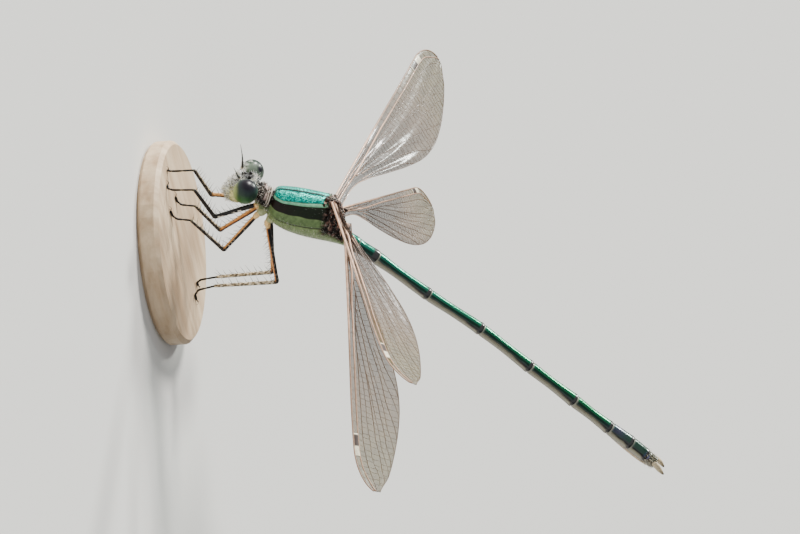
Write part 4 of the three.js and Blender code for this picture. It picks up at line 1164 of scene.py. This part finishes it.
# Hair
# Fine hairs, most of them pale and some dark, stand on the brow, the lip, the collar, the sides and back of
# the chest and the tail tip. Each is a thin curved cone rooted in the skin.
# How many, length and radius in mm, lean, colours, seed of the random draws, and slot
HAIR = {
    "brow_hair": (
        850, 0.20, 0.024, [0.25, 0, 0.30],
        ["ffffff", "fbf8f0", "ffffff", "e4dfd4", "f4efe4", "fbf8f0", "1a1613"], 71, "head"),
    "lip_hair": (420, 0.22, 0.014, [0.30, 0, -0.35], ["f6f2e0", "ddd8bc", "4a4436"], 72, "head"),
    "collar_hair": (300, 0.20, 0.017, [0.10, 0, 0.10], ["fff6ec", "c9bdb0", "3a3129"], 73, "prothorax"),
    "side_hair": (900, 0.18, 0.006, [-0.45, 0, -0.20], ["eeeade", "d5d0bd"], 74, "thorax"),
    "back_hair": (160, 0.12, 0.005, [-0.45, 0, 0.1], ["e8efe6"], 75, "thorax"),
    "tail_hair": (420, 0.20, 0.008, [-0.8, 0, -0.3], ["e2d8bc", "6a5a44"], 76, "ovipositor"),
}
HAIR_STEPS = 5
HAIR_AROUND = 3
HAIR_PATCH = 0.003


def grow_hair(name, grid, weight, count, length, radius, lean, codes, seed, slot):
    """Hairs rooted on a skin's grid where weight is high: thin cones along its normal, bent towards lean.

    The root's row and column give its place on the skin's unwrap, where each hair has a small patch."""
    hair_draw = np.random.default_rng(seed)
    rows_total, around_total = weight.shape
    down_rows = np.gradient(grid, axis=0)
    round_columns = np.roll(grid, -1, 1) - np.roll(grid, 1, 1)
    cross = np.cross(down_rows, round_columns)
    normal = unit(cross)
    if ((grid - grid.mean(axis=(0, 1))) * normal).sum() < 0:
        normal = -normal
    odds = (weight * np.linalg.norm(cross, axis=-1)).ravel()
    picked = hair_draw.choice(odds.size, count, p=odds / odds.sum())
    root = grid.reshape(-1, 3)[picked] + hair_draw.normal(size=(count, 3)) * 0.01
    out = normal.reshape(-1, 3)[picked]
    way = out + np.asarray(lean) * hair_draw.uniform(0.6, 1.4, (count, 1))
    way = unit(way + hair_draw.normal(size=(count, 3)) * 0.22)
    size = length * hair_draw.uniform(0.55, 1.25, count)
    t = np.linspace(0, 1, HAIR_STEPS)
    curve = unit(np.asarray(lean) + hair_draw.normal(size=(count, 3)) * 0.4)
    paths = (root[:, None] + way[:, None] * (size[:, None] * t)[..., None]
             + curve[:, None] * (0.25 * size[:, None] * t ** 2)[..., None] - out[:, None] * 0.02)
    rings = strands(paths, radius * (1 - 0.8 * t)[None], HAIR_AROUND)
    colours = np.array([paint(code) for code in codes])[hair_draw.integers(0, len(codes), count)]
    tint = colours[:, None, None] + 0 * rings
    place = np.stack([(picked // around_total) / rows_total, (picked % around_total) / around_total], -1)
    offset = np.stack(np.broadcast_arrays(t[:, None], np.arange(HAIR_AROUND) / HAIR_AROUND), -1) * HAIR_PATCH
    patch = at_corners(np.clip(place[:, None, None] + offset[None], 0, 1))
    make_tubes(name, rings, hair_horn, tint, slot=slot, patch=patch)


hair_horn = cuticle("hair_horn", 20000.0, 0.000002, 0.1, Roughness=0.45, Specular_IOR_Level=0.4)
brow = rise(hx, 8.55, 8.9) * rise(hz, 0.45, 0.7)
brow = brow + 0.22 * rise(hz, 1.35, 1.6) * rise(crown_ring, 0.50, 0.60)
brow = brow + 0.5 * rise(hx, 8.9, 9.0) * within(hz, -0.2, 0.6, 0.1)
lip = rise(hx, 8.7, 9.0) * fall(hz, 0.1, 0.3) + 0.3 * rise(hx, 8.2, 8.5) * fall(hz, -0.3, -0.1)
sides = box_share * rise(degrees, 80, 105) * fall(place, 6.5, 7.5) + rough_rear * 0.6
# Where each kind grows: its skin's grid, and the weight of each point with a little for the bare ones
growth = {
    "brow_hair": (head_grid, brow * fall(np.abs(hy), 1.0, 1.15) + 0.0005),
    "lip_hair": (head_grid, lip + 0.001),
    "collar_hair": (thorax_grid, within(collar_place, 1.6, 5.0, 0.3) * fall(degrees, 110, 140) + 0.0005),
    "side_hair": (thorax_grid, sides + 0.0001),
    "back_hair": (thorax_grid, box_share * fall(degrees, 50, 70) * within(place, 0.4, 5.0, 0.2) + 0.0001),
    "tail_hair": (
        abdomen_grid, rise(ring_at, 8.4, 9.4)[:, None] * (0.4 + 0.6 * rise(side_degrees, 90, 130)) + 0.0002),
}
for name, (grid, weight) in growth.items():
    grow_hair(name, grid, weight, *HAIR[name])
